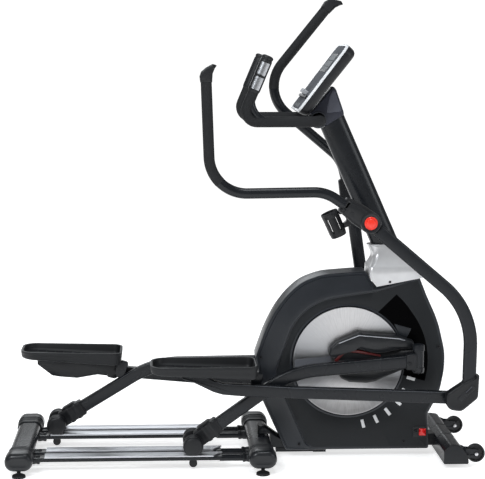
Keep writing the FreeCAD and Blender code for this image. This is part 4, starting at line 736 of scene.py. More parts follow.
def makeHousing():
    # rays from the crank axle: each is cut by the outline, the step and the disc, and rings join the cuts
    shape = housingShape
    rays = np.linspace(-np.pi, np.pi, shape["rays"], endpoint=False)
    outer = radiusAt(shape["outline"], rays, crankPivot)
    step = np.minimum(radiusAt(shape["recess"], rays, crankPivot), outer - 3)
    width = outer - step
    raised = np.clip((width - 4) / 26, 0, 1)
    raised = raised * raised * (3 - 2 * raised)
    low = shape["floor"]
    crest = low + (shape["half"] - low) * raised
    edge = crest - shape["slope"] * np.clip(width / 110, 0, 1) - 2.0 * (1 - raised)
    rim = shape["rim"]

    def ring(radius, depth):
        return np.stack([crankPivot[0] + radius * np.cos(rays), -depth * np.ones(len(rays)),
                         crankPivot[2] + radius * np.sin(rays)], axis=1)

    wide = np.clip(width / 30, 0, 1)
    rings = [ring(outer, 0.0), ring(outer, edge - rim), ring(outer - 1.2, edge - rim * 0.45),
             ring(outer - 3.5, edge - rim * 0.12), ring(outer - 7 * wide - 3.5, edge + 0.2),
             ring(outer - 8.2 * wide - 3.6, edge - 1.6 * wide), ring(outer - 9.6 * wide - 3.7, edge + 0.6 * wide)]
    inner = outer - 9.6 * wide - 3.7
    top = np.minimum(step + 5, inner - 0.2)
    for part in (0.25, 0.5, 0.75, 1.0):
        rings.append(ring(inner + (top - inner) * part, edge + (crest - edge) * part + 0.6 * wide * (1 - part)))
    drop = crest - low
    last = np.minimum(step, top - 0.2)
    for back, fall in ((0.5, 0.02), (2.0, 0.12), (3.4, 0.5), (4.6, 0.88), (7.0, 1.0)):
        rings.append(ring(last - back, crest - drop * fall))
    discRim = 238.0
    for part in (0.25, 0.5, 0.75):
        rings.append(ring(last - 7 + (discRim + 4 - last + 7) * part, np.full(len(rays), low)))
    for radius, depth in ((discRim + 4, low), (discRim + 1, low + 1.2), (discRim - 2, low + 1.2),
                          (discRim - 5, low - 1), (discRim - 6, low - 5), (120, low - 5), (33, low - 5)):
        rings.append(ring(np.full(len(rays), float(radius)), np.full(len(rays), depth)))
    other = [one * np.array([1, -1, 1]) for one in rings[:0:-1]]
    shell = shellOf(other + rings, closeRows=True)
    onFrame("housing_shell", shell, "housing_grey", ["housing_right", "housing_left"], 34)
    pan = plainMaterial("recessGrey", dict(colour=(0.0105, 0.0120, 0.0140), rough=0.5, grain=900, bump=0.2, wear=0.0,
                                           dust=0.03, specular=0.22))
    far = np.maximum(last - 8.5, discRim + 9)
    near = np.full(len(rays), discRim + 5.0)
    floorRings = [ring(far, low - 1), ring(far, low + 0.3), ring(far - 0.5, low + 0.6),
                  ring((far + near) / 2, low + 0.6), ring(near + 0.5, low + 0.6), ring(near, low + 0.3),
                  ring(near, low - 1)]
    plate = shellOf(floorRings + floorRings[:1], caps=False, closeRows=True)
    bothSides("housing_pan", plate, flipped, "root", "housing_grey", (), 34, pan)


panelShape = dict(reach=(241.0, 336.0), marks=8, first=8.0, last=-76.0, ring=277.0)


def arcPlate(centre, low, high, start, stop, depths, steps=40):
    # a flat plate between two radii and two angles
    turn = np.radians(np.linspace(start, stop, steps))
    inner = np.stack([centre[0] + low * np.cos(turn), centre[2] + low * np.sin(turn)], axis=1)
    outer = np.stack([centre[0] + high * np.cos(turn), centre[2] + high * np.sin(turn)], axis=1)
    loop = np.concatenate([outer, inner[::-1]])
    edge = 0.4
    return shellOf([atDepth(loop, depths[0]), atDepth(loop, depths[1] + edge),
                    atDepth(inset(loop, edge), depths[1])])


def makePanels():
    # black gloss sector beside the disc, a grey facet on it and a row of plain marks round the disc
    shape = panelShape
    near, far = shape["reach"]
    gloss = plainMaterial("glossPanel", dict(colour=(0.0014, 0.0014, 0.0016), rough=0.2, uneven=0.03, bump=0.02,
                                             wear=0.0, dust=0.0, specular=0.01))
    paint = plainMaterial("markPaint", dict(colour=(0.66, 0.67, 0.68), rough=0.4, bump=0.04, wear=0.0, dust=0.05))
    sector = arcPlate(crankPivot, near, far, -15, 38, (-69, -71.2))
    turn = np.radians(np.linspace(38, 54.5, 14))
    high = far + 9 * np.clip((np.degrees(turn) - 38) / 16, 0, 1)
    crown = np.stack([crankPivot[0] + high * np.cos(turn), crankPivot[2] + high * np.sin(turn)], axis=1)
    low = np.radians(np.linspace(59, 38, 14))
    base = np.stack([crankPivot[0] + near * np.cos(low), crankPivot[2] + near * np.sin(low)], axis=1)
    loop = np.concatenate([crown, base])
    wedge = shellOf([atDepth(loop, -69), atDepth(loop, -70.8), atDepth(inset(loop, 0.4), -71.2)])
    facet = slabOf([(622, 569), (694, 549), (676, 512), (645, 520)], -72.0, -70.5, 0.3)
    marks = []
    for index in range(shape["marks"]):
        angle = shape["first"] + (shape["last"] - shape["first"]) * index / (shape["marks"] - 1)
        bar = slabOf([(-18, -6.5, 1.5), (18, -6.5, 1.5), (18, 6.5, 1.5), (-18, 6.5, 1.5)], -72.1, -70.2, 0.3)
        bar = turned(bar, (0, 0, 0), -angle)
        place = (crankPivot[0] + shape["ring"] * math.cos(math.radians(angle)), 0,
                 crankPivot[2] + shape["ring"] * math.sin(math.radians(angle)))
        marks.append(moved(bar, place))
    bothSides("sector_panel", joined(sector, wedge), flipped, "root", "housing_grey", material=gloss)
    bothSides("sector_facet", facet, flipped, "root", "housing_grey")
    bothSides("side_marks", joined(*marks), flipped, "root", "collar_silver", material=paint)


discShape = dict(hole=27.0, radius=230.0, inner=71.5, outer=76.4)


def makeDisc():
    # a brushed disc with a raised bright rim and a grey radial band opposite the crank
    centre = (crankPivot[0], 0, crankPivot[2])
    hole, radius, inner, outer = (discShape[key] for key in ("hole", "radius", "inner", "outer"))
    profile = [(hole, inner), (radius, inner), (radius, 75), (radius - 1, outer), (radius - 4, outer),
               (radius - 5.5, 75.6), (120, 76.0), (hole, 76.2)]
    band = plainMaterial("discBand", dict(colour=(0.115, 0.12, 0.135), rough=0.34, bump=0.05, wear=0.2, dust=0.05))
    plate = latheOf(profile, 192, centre, -1)
    bar = slabOf([(-222, -33, 2), (-70, -20, 2), (-70, 24, 2), (-224, 9, 2)], -76.9, -75.4, 0.3)
    bar = moved(bar, centre)
    bothSides("disc", plate, leftCrank, "crank", "disc_metal", alone=["crank_discs"])
    bothSides("disc_band", bar, leftCrank, "crank", "disc_metal", material=band)


# crank cover

coverShape = dict(
    upper=[(341, 440, 20), (350, 478, 16), (376, 504, 18), (470, 544, 14), (489, 538, 8), (633, 527, 10),
           (698, 505, 12), (700, 474, 8), (640, 470, 20), (575, 455, 60), (533, 454, 60), (469, 471, 60),
           (428, 476, 40), (396, 460, 30), (378, 436, 10)],
    lower=[(372, 390, 20), (396, 348, 24), (430, 333, 20), (503, 328, 20), (538, 334, 30), (640, 378, 14),
           (690, 400, 10), (690, 430, 10), (520, 428, 40), (430, 434, 40), (384, 430, 10)])


def domeOf(outline, low, high, border, crown, step=9.0):
    # a shell whose rim rises steeply and then leans in to a raised middle line
    loop = spread(loopOf(outline, 6), step)
    middle = loop.mean(axis=0)
    rings = [atDepth(loop, low), atDepth(loop, high + (low - high) * 0.35)]
    for t in np.linspace(0.2, 1, 5):
        rings.append(atDepth(inset(loop, border * (1 - math.cos(t * np.pi / 2))),
                             high + (low - high) * 0.35 * (1 - math.sin(t * np.pi / 2))))
    inner = inset(loop, border)
    rings.append(atDepth(inner + (middle - inner) * 0.25, high + crown * 0.6))
    rings.append(atDepth(inner + (middle - inner) * 0.6, high + crown))
    return shellOf(rings)


def makeCrankCover():
    # two leaf shells either side of a dark red strip, with a paler strip along the upper leaf's crest as a painted
    # highlight
    upper = domeOf(coverShape["upper"], -83, -124, 9, -3.5)
    lower = domeOf(coverShape["lower"], -83, -120, 9, -3.0)
    highlightRidge = sweepOf(np.array([(384, -125, 500), (468, -127, 533), (489, -127.4, 531), (634, -124, 517),
                              (690, -120, 500)], float), roundBox(3.2, 3.2, 1.4), up=(0, -1, 0))
    strip = slabOf([(366, 424, 6), (382, 446, 12), (405, 466, 20), (430, 473, 30), (470, 468, 60), (560, 447, 12),
                    (560, 441, 6), (470, 457, 60), (430, 461, 30), (408, 454, 20), (392, 438, 12), (378, 420, 6)],
                   -121, -90, 2)
    hollow = slabOf([(372, 410, 8), (396, 448, 12), (430, 460, 30), (470, 456, 60), (600, 430, 8), (600, 415, 8)],
                    -112, -88, 2)
    bothSides("leaf_upper", upper, leftCrank, "crank", "leaf_plastic", ["crank_covers"], 40)
    bothSides("leaf_lower", lower, leftCrank, "crank", "leaf_plastic", ["crank_covers"], 40)
    bothSides("leaf_gap", hollow, leftCrank, "crank", "black_plastic")
    bothSides("leaf_strip", strip, leftCrank, "crank", "dark_red", ["crank_inserts"], 40)
    # a paler round strip along the upper leaf's crest: painted highlight on its top edge
    paintedHighlight = plainMaterial("ridgeShine", dict(colour=(0.38, 0.39, 0.42), rough=0.25, coat=0.5, wear=0.1))
    bothSides("leaf_ridge", highlightRidge, leftCrank, "crank", "leaf_plastic", material=paintedHighlight)


# mast, collar and head

mastShape = dict(lean=24.02, foot=(493.0, 1115.0), depth=110.0, width=70.0)


def mastAt(z):
    # the x of the leaning middle line at one height
    return mastShape["foot"][0] + math.tan(math.radians(mastShape["lean"])) * (mastShape["foot"][1] - z)


def makeMast():
    # an oval tube leaning back, cut square at the foot and on a slope under the head cover
    turn = np.arange(72) * 2 * np.pi / 72
    half = mastShape["depth"] / 2 / math.cos(math.radians(mastShape["lean"]))
    power = 2.5
    across = np.sign(np.cos(turn)) * np.abs(np.cos(turn)) ** (2 / power)
    aside = np.sign(np.sin(turn)) * np.abs(np.sin(turn)) ** (2 / power)
    rings = []
    for part in np.linspace(0, 1, 12):
        z = 640 + (1410 - 640) * part + across * 31 * part
        x = np.array([mastAt(one) for one in z]) + across * half
        rings.append(np.stack([x, aside * mastShape["width"] / 2, z], axis=1))
    onFrame("mast_tube", shellOf(rings), "frame_black", ["mast"], 50)


def makeCollar():
    # silver shroud: boxy where it leaves the housing, then drawn in and rounder up to the mast
    def ring(low, high, half, corner, height):
        # a rounded rectangle with the same number of points whatever its size
        turn = np.linspace(0, np.pi / 2, 11)
        arcs = []
        for x, y, start in ((high - corner, half - corner, 0), (low + corner, half - corner, 1),
                            (low + corner, corner - half, 2), (high - corner, corner - half, 3)):
            angle = turn + start * np.pi / 2
            arcs.append(np.stack([x + corner * np.cos(angle), y + corner * np.sin(angle)], axis=1))
        loop = []
        for index, arc in enumerate(arcs):
            away = arcs[(index + 1) % 4][0]
            loop += list(arc) + [arc[-1] + (away - arc[-1]) * part / 10 for part in range(1, 10)]
        loop = np.array(loop)
        z = height(loop[:, 0]) if callable(height) else np.full(len(loop), float(height))
        return np.stack([loop[:, 0], loop[:, 1], z], axis=1)

    def foot(x):
        return np.interp(x, [512, 541, 744], [774, 727, 766])

    rings = [ring(518, 737, 76.5, 9, foot)]
    for part in (0, 0.3, 0.6, 1):
        rings.append(ring(514, 741 - 22 * part, 79.2, 10 + 6 * part,
                          lambda x, part=part: foot(x) + (806 - foot(x)) * part))
    for part in np.linspace(0.07, 1, 14):
        ease = 1 - (1 - part) ** 2
        low = 514 + 19 * math.sin(min(part / 0.55, 1) * math.pi / 2) - 21 * max(0, (part - 0.55) / 0.45) ** 1.4
        rings.append(ring(low, 719 - 61 * part ** 0.8, 79.2 - 33 * ease, 16 + 22 * part, 806 + 90 * part))
    rings.append(ring(514, 656, 44.6, 37, 898.2))
    rings.append(ring(518, 652, 40, 34, 898.8))
    onFrame("collar_shroud", shellOf(rings), "collar_silver", ["mast_collar"], 60)


def makeHead():
    # angular cover between mast, handlebar and console, with a paler plate on each side painted as a facet catching
    # more light
    outline = [(268, 1442, 8), (304, 1392, 20), (337, 1394, 8), (407, 1439, 6), (404, 1454, 6), (373, 1542, 8),
               (361, 1556, 6)]
    loop = spread(loopOf(outline, 6), 12)
    sides = ((-38, 5), (-36.5, 1.5), (-33, 0), (0, -0.5), (33, 0), (36.5, 1.5), (38, 5))
    makePiece("head_shell", layered(loop, sides), "root",
              plainMaterial("headGrey", dict(colour=(0.030, 0.032, 0.044), rough=0.36, grain=1300, bump=0.08,
                                             wear=0.0, dust=0.0, specular=0.2)), ["head_cover"], 35)
    # paler copy of the head's grey on each side: painted light, standing in for a facet turned towards the lamps
    facet = slabOf([(345, 1512, 5), (332, 1446, 5), (396, 1452, 6), (370, 1530, 10), (360, 1543, 6)], -39.6, -36, 1.2)
    makePiece("head_facet", joined(facet, flipped(facet)), "root",
              plainMaterial("facetGrey", dict(colour=(0.080, 0.084, 0.105), rough=0.4, grain=1300, bump=0.08,
                                              wear=0.0, dust=0.0, specular=0.2)), (), 35)


# swinging handles

handleShape = dict(grip=21.3, foam=22.0, lane=-259.0)
handleRoute = [(-167.6, 1583), (-151, 1137, 150), (307.6, 1143, 150), (398, 1081)]


def inLane(points):
    # (x, z, corner radius) points stood in the handle's own lane
    return [(p[0], handleShape["lane"], p[1]) + tuple(p[2:]) for p in points]


def makeHandles():
    # a bent round tube above the hub, a curved flat tube below it, a cast-looking hub and end cover
    lane = handleShape["lane"]
    whole = routeOf(inLane(handleRoute), 8)
    upper = sweepOf(whole, circle(handleShape["grip"], 40), up=(0, 1, 0))
    sleeve = sweepOf(whole[whole[:, 2] > 1180], circle(handleShape["foam"], 40), up=(0, 1, 0))
    lowerRoute = routeOf(inLane([(520, 988), (903.5, 661, 464), (899, 356)]), 8)
    lower = sweepOf(lowerRoute, roundBox(54, 30, 10, 6), up=(0, 1, 0))
    endPlate = slabOf([(873, 372, 4), (925, 372, 4), (923, 326, 24), (862, 268, 24), (826, 270, 22), (822, 314, 22)],
                      lane - 8, lane + 10, 2)
    pin = latheOf([(0.01, 237.6), (8, 237.6), (8, 262), (0.01, 262)], 24, (846.5, 0, 292.9), -1)
    bothSides("handle_tube", joined(upper, lower, endPlate, pin), leftArm, "_arm", "frame_black", ["swing_arm_"], 40)
    bothSides("handle_sleeve", sleeve, leftArm, "_arm", "foam_black")

    # hub casing: a boss round the axle and a tapering sleeve over the tube, turned to the tube's slope
    hub = spread(loopOf([(-134, -33, 10), (-60, -43, 40), (46, -43, 42.5), (46, 43, 42.5), (-60, 43, 40),
                         (-134, 33, 10)], 10), 8)
    casing = layered(hub, ((231.5, 4), (232.5, 1.2), (236, 0), (256, 0), (266, 1.2), (274, 4.5), (280, 9.5),
                           (284, 15), (286, 20)), sign=-1)
    ring = latheOf([(27, 250), (41.5, 250), (41.5, 286), (40, 288.6), (37.5, 289.4), (34, 288.4), (31, 287.2),
                    (27, 287)], 64, (0, 0, 0), -1)
    bolts = [latheOf([(0.01, 283), (9, 283), (8.5, 286.5), (5, 287), (4.6, 285.4), (0.01, 285.4)], 24,
                     (x, 0, -12), -1) for x in (-112, -84)]
    casing = turned(joined(casing, *bolts), (0, 0, 0), 34.4)
    bothSides("pivot_ring", moved(ring, armPivot), leftArm, "_arm", "leaf_plastic")
    casing = moved(casing, armPivot)
    skirt = spread(loopOf([(938, 400, 4), (934.5, 303, 28), (868, 247, 34), (806, 256, 36), (803, 320, 28),
                           (868, 364, 10)], 9), 9)
    cover = layered(skirt, ((242.5, 3), (244, 0.5), (274, 0), (279, 1.2), (282.2, 4), (283.2, 9), (282.6, 12)),
                    sign=-1)
    groove = sweepOf(routeOf([(856, -283.0, 296), (915, -283.0, 352)], 6), roundBox(20, 3.4, 1.6), up=(0, -1, 0))
    slotInk = sweepOf(routeOf([(884, -284.2, 322), (908, -284.2, 345)], 6), roundBox(9, 2.2, 1.0), up=(0, -1, 0))
    plug = spread(loopOf([(-191, 1578), (-194, 1602, 8), (-188, 1620, 8), (-170, 1636, 20), (-142, 1651, 6),
                          (-125, 1645, 3), (-134, 1632, 8), (-142, 1612, 14), (-144, 1578)], 6), 6)
    plug = layered(plug, ((-23, 7), (-21.5, 3), (-17, 0.8), (-8, 0), (8, 0), (17, 0.8), (21.5, 3), (23, 7)), lane)
    bothSides("handle_cover", joined(casing, cover, groove, plug), leftArm, "_arm", "black_plastic",
              ["swing_covers_"], 42)
    # a paler strip along the slot's upper side: painted highlight on the slot's edge
    slotHighlight = sweepOf(routeOf([(881, -285.2, 327), (905, -285.2, 350.5)], 6), roundBox(2.0, 1.6, 0.7), up=(0, -1, 0))
    edge = plainMaterial("slotShine", dict(colour=(0.07, 0.075, 0.09), rough=0.3, bump=0.03, wear=0.0))
    bothSides("slot_edge", slotHighlight, leftArm, "_arm", "black_plastic", material=edge)
    bothSides("cover_slot", slotInk, leftArm, "_arm", "screw_black")
    cap = latheOf([(0.01, 287.3), (26.3, 287.3), (26.3, 290.5), (25.0, 292.0), (20.5, 292.2), (19.6, 294.6),
                   (17.5, 296.6), (10, 297.9), (0.01, 298.3)], 64, armPivot, -1)
    bothSides("pivot_cap", cap, leftArm, "_arm", "cap_red", ["swing_cap_"], 30)


# pedal link, pedal, roller tube

def makeLinks():
    # a flat tube with a flared cradle under the foot plate and a rounded eye at the swinging arm, and a paler strip
    # along its upper edge as a painted highlight
    outline = [(-272, 393, 3), (-269, 387, 3), (-250, 375, 8), (-226, 371, 20), (-137, 327, 40), (-100, 316, 40),
               (-25, 309, 60), (173, 299, 300), (846.5, 268, 24), (872.5, 268, 24), (872.5, 318.5, 24),
               (820, 319, 10),
               (173, 345, 300), (-25, 358, 60), (-98, 362, 30), (-130, 373, 20), (-170, 393, 10)]
    bar = slabOf(outline, -240, -208, 5, 4, 14)
    # a thin paler strip along the bar's upper edge: painted highlight
    highlightLip = sweepOf(routeOf([(-126, -239.2, 369), (-98, -239.2, 360, 40), (-25, -239.2, 356, 60),
                           (173, -239.2, 343, 200),
                           (816, -239.2, 317)], 12), roundBox(2.6, 2.2, 0.9), up=(0, 0, 1))
    paintedHighlight = plainMaterial("linkShine", dict(colour=(0.075, 0.08, 0.09), rough=0.3, bump=0.03, wear=0.0))
    bothSides("link_lip", highlightLip, leftLink, "_link", "frame_black", material=paintedHighlight)
    cradle = slabOf([(-886, 372, 4), (-886, 347, 4), (-823, 297, 14), (-787, 291, 20), (-715, 285, 14),
                     (-586, 306, 4),
                     (-584, 288, 6), (-552, 280, 14), (-520, 300, 20), (-520, 340, 6)], 199, 208, 2.5, 3, 12)
    makePiece("foot_cradle", cradle, "left_link", finish["frame_black"], (), 40)
    bothSides("link_bar", bar, leftLink, "_link", "frame_black", ["pedal_link_"], 38)


pedalShape = dict(x=(-394.0, 40.0), y=(-301.5, -101.5), z=(393.2, 443.0), leftTilt=-1.3, leftDrop=15.0)


def makePedals():
    # a deep tray with a rolled rim, a curled toe end and a ribbed floor
    shape = pedalShape
    x0, x1 = shape["x"]
    y0, y1 = shape["y"]
    z0, z1 = shape["z"]

    base = spread(loopOf([(x0, y0, 62), (x1, y0, 40), (x1, y1, 40), (x0, y1, 62)], 12), 14)

    def under(x):
        return np.interp(x, [x0, x1], [z0 + 17, z0 - 7])

    def ring(back, depth):
        # depth runs from 0 at the rim to 1 at the underside, which drops towards the toe
        loop = inset(base, back) if back else base.copy()
        z = z1 - (z1 - under(loop[:, 0])) * depth
        return np.stack([loop[:, 0], loop[:, 1], z], axis=1)

    rings = [ring(60, 1.0), ring(20, 1.0), ring(12, 0.98), ring(6, 0.92), ring(2.6, 0.78), ring(1.6, 0.5),
             ring(1.2, 0.36), ring(0.01, 0.32), ring(0.01, 0.08), ring(0.6, 0.02), ring(3, 0.0), ring(7, 0.0),
             ring(9.5, 0.02), ring(11, 0.1), ring(14, 0.5), ring(17, 0.72), ring(21, 0.78), ring(27, 0.8),
             ring(60, 0.8)]
    tray = shellOf(rings)
    ribs = []
    for index in range(9):
        x = x0 + 62 + index * 38
        reach = 74 - 10 * (abs(index - 4) > 3)
        top = z1 - 0.8 * (z1 - float(under(x))) + 0.6
        rib = sweepOf(routeOf([(x, -201.5 - reach, top), (x + 10, -201.5, top - 0.3, 60),
                               (x, -201.5 + reach, top)], 10), roundBox(6, 3.2, 1.2))
        ribs.append(rib)
    def leftTray(one):
        return moved(turned(leftLink(one), (-725, 0, 430), shape["leftTilt"]), (0, 0, -shape["leftDrop"]))

    bothSides("pedal_tray", tray, leftTray, "_link", "pedal_plastic", ["pedal_"], 45)
    bothSides("pedal_ribs", joined(*ribs), leftTray, "_link", "pedal_plastic")


tubeShape = dict(lane=-165.0, deep=52.0, wide=36.0)


def makeTubes():
    # a bowed flat tube from the roller to the crank joint, with a bolted joint block and a pivot ear
    lane = tubeShape["lane"]
    roller = pivotOf("right_tube_tilt")
    route = routeOf([(-192.6, lane, 119.9), (180, lane, 388.4, 400), (690, lane, 433)], 9)
    tube = sweepOf(route, roundBox(tubeShape["deep"], tubeShape["wide"], 8, 5), up=(0, 1, 0))
    barrel = latheOf([(0.01, 383), (19, 383), (23.5, 386), (25, 391), (25, 407), (22.5, 409), (22.5, 475), (25, 477),
                      (25, 495), (23, 501), (18, 503.5), (0.01, 503.8)], 56, (708.2, lane, 0), 1, "Z")
    block = slabOf([(655, 400, 6), (700, 398, 8), (700, 468, 8), (655, 462, 6)], -190, -140, 5, 4)
    nut = latheOf([(0.01, 189), (11, 189), (10.5, 192.5), (7, 193.4), (6.4, 191.6), (0.01, 191.6)], 6,
                  (668, 0, 424), -1)
    ear = slabOf([(18, 366, 6), (14, 330, 20), (35, 308, 22), (56, 330, 22), (70, 384, 10), (40, 392, 6)],
                 -175, -155, 3, 3)
    pin = latheOf([(0.01, 170), (8, 170), (8, 239.4), (7, 240.3), (0.01, 240.3)], 28, (34.4, 0, 331.5), -1)
    bothSides("tube_bar", joined(tube, barrel, ear, pin), leftTube, "_tube", "frame_black", ["roller_tube_"], 40)
    bothSides("joint_block", joined(block, nut), leftTube, "_tube", "cap_plastic")

    # plastic sleeve with stepped ribs and a round cover over each roller
    slope = math.degrees(math.atan2(288.4, 400.3))
    sleeveRings = []
    for reach, grow in ((22, -4), (26, 0), (58, 0), (62, 2.5), (74, 2.5), (78, 0), (92, 0), (96, 2.5), (108, 2.5),
                        (112, 0), (128, 0), (132, -2.5), (132.5, -6)):
        box = roundBox(66 + 2 * grow, 53 + 2 * grow, 9, 5)
        sleeveRings.append(alongX(box[:, ::-1], reach, lane, 0))
    sleeve = turned(shellOf(sleeveRings), (0, 0, 0), -slope)
    tab = turned(slabOf([(40, 33, 3), (112, 33, 3), (104, 41, 4), (52, 41, 4)], -182, -148, 2), (0, 0, 0), -slope)

    def coverAt(inner, outer):
        # a drum with ribs round its rim and a flat lid, cut level above the rail
        steps = 96
        turn = np.arange(steps) * 2 * np.pi / steps
        rings = []
        span = outer - inner
        for part, radius in ((0.0, 36), (0.02, 40), (0.2, 41.3), (0.24, 39.8), (0.34, 39.8), (0.38, 41.3),
                             (0.52, 41.3), (0.56, 39.6), (0.66, 39.6), (0.70, 41.0), (0.84, 40.4), (0.92, 37.5),
                             (0.97, 33.5), (1.0, 28.0)):
            x = radius * np.cos(turn)
            z = np.maximum(radius * np.sin(turn), -30.5)
            rings.append(np.stack([x, np.full(steps, -(inner + span * part)), z], axis=1))
        return shellOf(rings)

    drum = joined(coverAt(192, 249), coverAt(138, 81.5), latheOf([(0.01, 130), (24, 130), (24, 200), (0.01, 200)], 40,
                                                                  (0, 0, 0), -1))
    bothSides("roller_sleeve", moved(joined(sleeve, tab, drum), roller), leftTube, "_tube", "black_plastic",
              ["roller_cover_"], 40)


# console

consoleShape = dict(tilt=52.8, middle=(300.5, 1587.5), half=150.0)


def ontoFace(shape):
    # a shape drawn lying flat (x up the face, y across, z out of it) stood on the console's face
    points, faces = shape
    tilt = math.radians(consoleShape["tilt"])
    x = consoleShape["middle"][0] + points[:, 0] * math.cos(tilt) - points[:, 2] * math.sin(tilt)
    z = consoleShape["middle"][1] + points[:, 0] * math.sin(tilt) + points[:, 2] * math.cos(tilt)
    return np.stack([x, points[:, 1], z], axis=1), faces


def tile(x0, x1, y0, y1, corner):
    # a rectangle whose four corners share one radius
    return [(x0, y0, corner), (x1, y0, corner), (x1, y1, corner), (x0, y1, corner)]


def flatPlate(outline, low, high, rounding=1.0, step=20.0):
    # a plate drawn in plan, x up and y across, with a rounded upper rim
    loop = spread(loopOf(outline, 8), step)
    rings = [np.stack([loop[:, 0], loop[:, 1], np.full(len(loop), float(low))], axis=1)]
    for t in np.linspace(0, np.pi / 2, 4):
        one = inset(loop, rounding * (1 - math.cos(t)) + 0.005)
        rings.append(np.stack([one[:, 0], one[:, 1], np.full(len(loop), high - rounding * (1 - math.sin(t)))],
                              axis=1))
    return shellOf(rings)


def makeConsole():
    # a dark back shell, a pale rim band, a grey face with display, ledge, speakers and keys
    half = consoleShape["half"]
    loop = spread(loopOf([(-162, -half, 26), (174, -half, 40), (174, half, 40), (-162, half, 26)], 12), 12)
    middle = loop.mean(axis=0)

    def ring(back, out, squeeze=0.0):
        one = inset(loop, min(back, 12) + 0.01)
        if back > 12:
            one = middle + (one - middle) * (np.array([148.0, 138.0]) - back + 12) / np.array([148.0, 138.0])
        lift = out - squeeze * np.clip((one[:, 0] + 40) / 200, 0, 1)
        return np.stack([one[:, 0], one[:, 1], lift], axis=1)

    back = [ring(70, -48, 5), ring(34, -48, 5), ring(18, -46, 5), ring(10, -41, 5), ring(4, -33, 4),
            ring(1.2, -22, 2), ring(0.5, -9.6), ring(2.4, -9.2)]
    band = [ring(3.0, -9.4), ring(0.6, -8.6), ring(0.0, -6.0), ring(0.2, -1.2), ring(1.4, 0.6), ring(5.5, 1.2),
            ring(8.5, 0.8), ring(9.2, -0.6)]
    face = [ring(9.4, -1.2), ring(9.8, 0.2), ring(11.5, 0.6), ring(60, 0.6)]
    pale = plainMaterial("bandSilver", dict(colour=(0.74, 0.75, 0.77), rough=0.35, bump=0.03, wear=0.0, dust=0.0,
                                            specular=0.2))
    onFrame("console_shell", ontoFace(shellOf(back)), "black_plastic", ["console_back"], 40)
    makePiece("console_band", ontoFace(shellOf(band, caps=False)), "root", pale, (), 50)
    grille = []
    for index in range(5):
        for sign in (-1, 1):
            grille.append(flatPlate([(-70 + index * 6, sign * 112 - 16, 1.2),
                                     (-67.2 + index * 6, sign * 112 - 16, 1.2),
                                     (-67.2 + index * 6, sign * 112 + 16, 1.2),
                                     (-70 + index * 6, sign * 112 + 16, 1.2)],
                                    0.4, 1.3, 0.4))
    bezel = flatPlate(tile(32, 124, -96, 96, 8), 0.4, 2.0, 0.8)
    pad = flatPlate(tile(-152, -110, -92, 92, 8), 0.4, 1.4, 0.5)
    ledge = flatPlate(tile(-100, -88, -132, 132, 3), 0.4, 8.0, 2.0)
    stop = flatPlate(tile(-86, -68, -34, 34, 4), 0.4, 24.0, 3.0)
    gloss = finish["console_grey"]
    makePiece("console_front", ontoFace(joined(shellOf(face), pad)), "root", gloss,
              ["console_face"], 40)
    dark = plainMaterial("bezelBlack", dict(colour=(0.012, 0.013, 0.015), rough=0.3, bump=0.02, wear=0.0,
                                             specular=0.02))
    makePiece("console_bezel", ontoFace(joined(bezel, ledge, *grille)), "root", dark)
    clear = plainMaterial("stopGrey", dict(colour=(0.45, 0.46, 0.48), rough=0.5, bump=0.04, wear=0.0, specular=0.0))
    makePiece("console_stop", ontoFace(stop), "root", clear)
    screen = flatPlate(tile(42, 116, -87, 87, 4), 1.6, 2.6, 0.3)
    onFrame("console_glass", ontoFace(screen), "screen_glass", ["console_screen"])
    segments = []
    for y in (-58, -20, 20, 58):
        segments.append(flatPlate(tile(58, 60.5, y - 12, y + 12, 1), 2.5, 2.9, 0.1))
        segments.append(flatPlate(tile(88, 91, y - 14, y + 14, 1), 2.5, 2.9, 0.1))
    mark = plainMaterial("screenMark", dict(colour=(0.05, 0.06, 0.06), rough=0.4, bump=0.01, wear=0.0, dust=0.0,
                                             specular=0.0))
    makePiece("console_segments", ontoFace(joined(*segments)), "root", mark)


# fixed handlebar

barShape = dict(y=180.0, top=(82.0, 1680.0), z=1418.0, tube=15.0, foam=22.0)


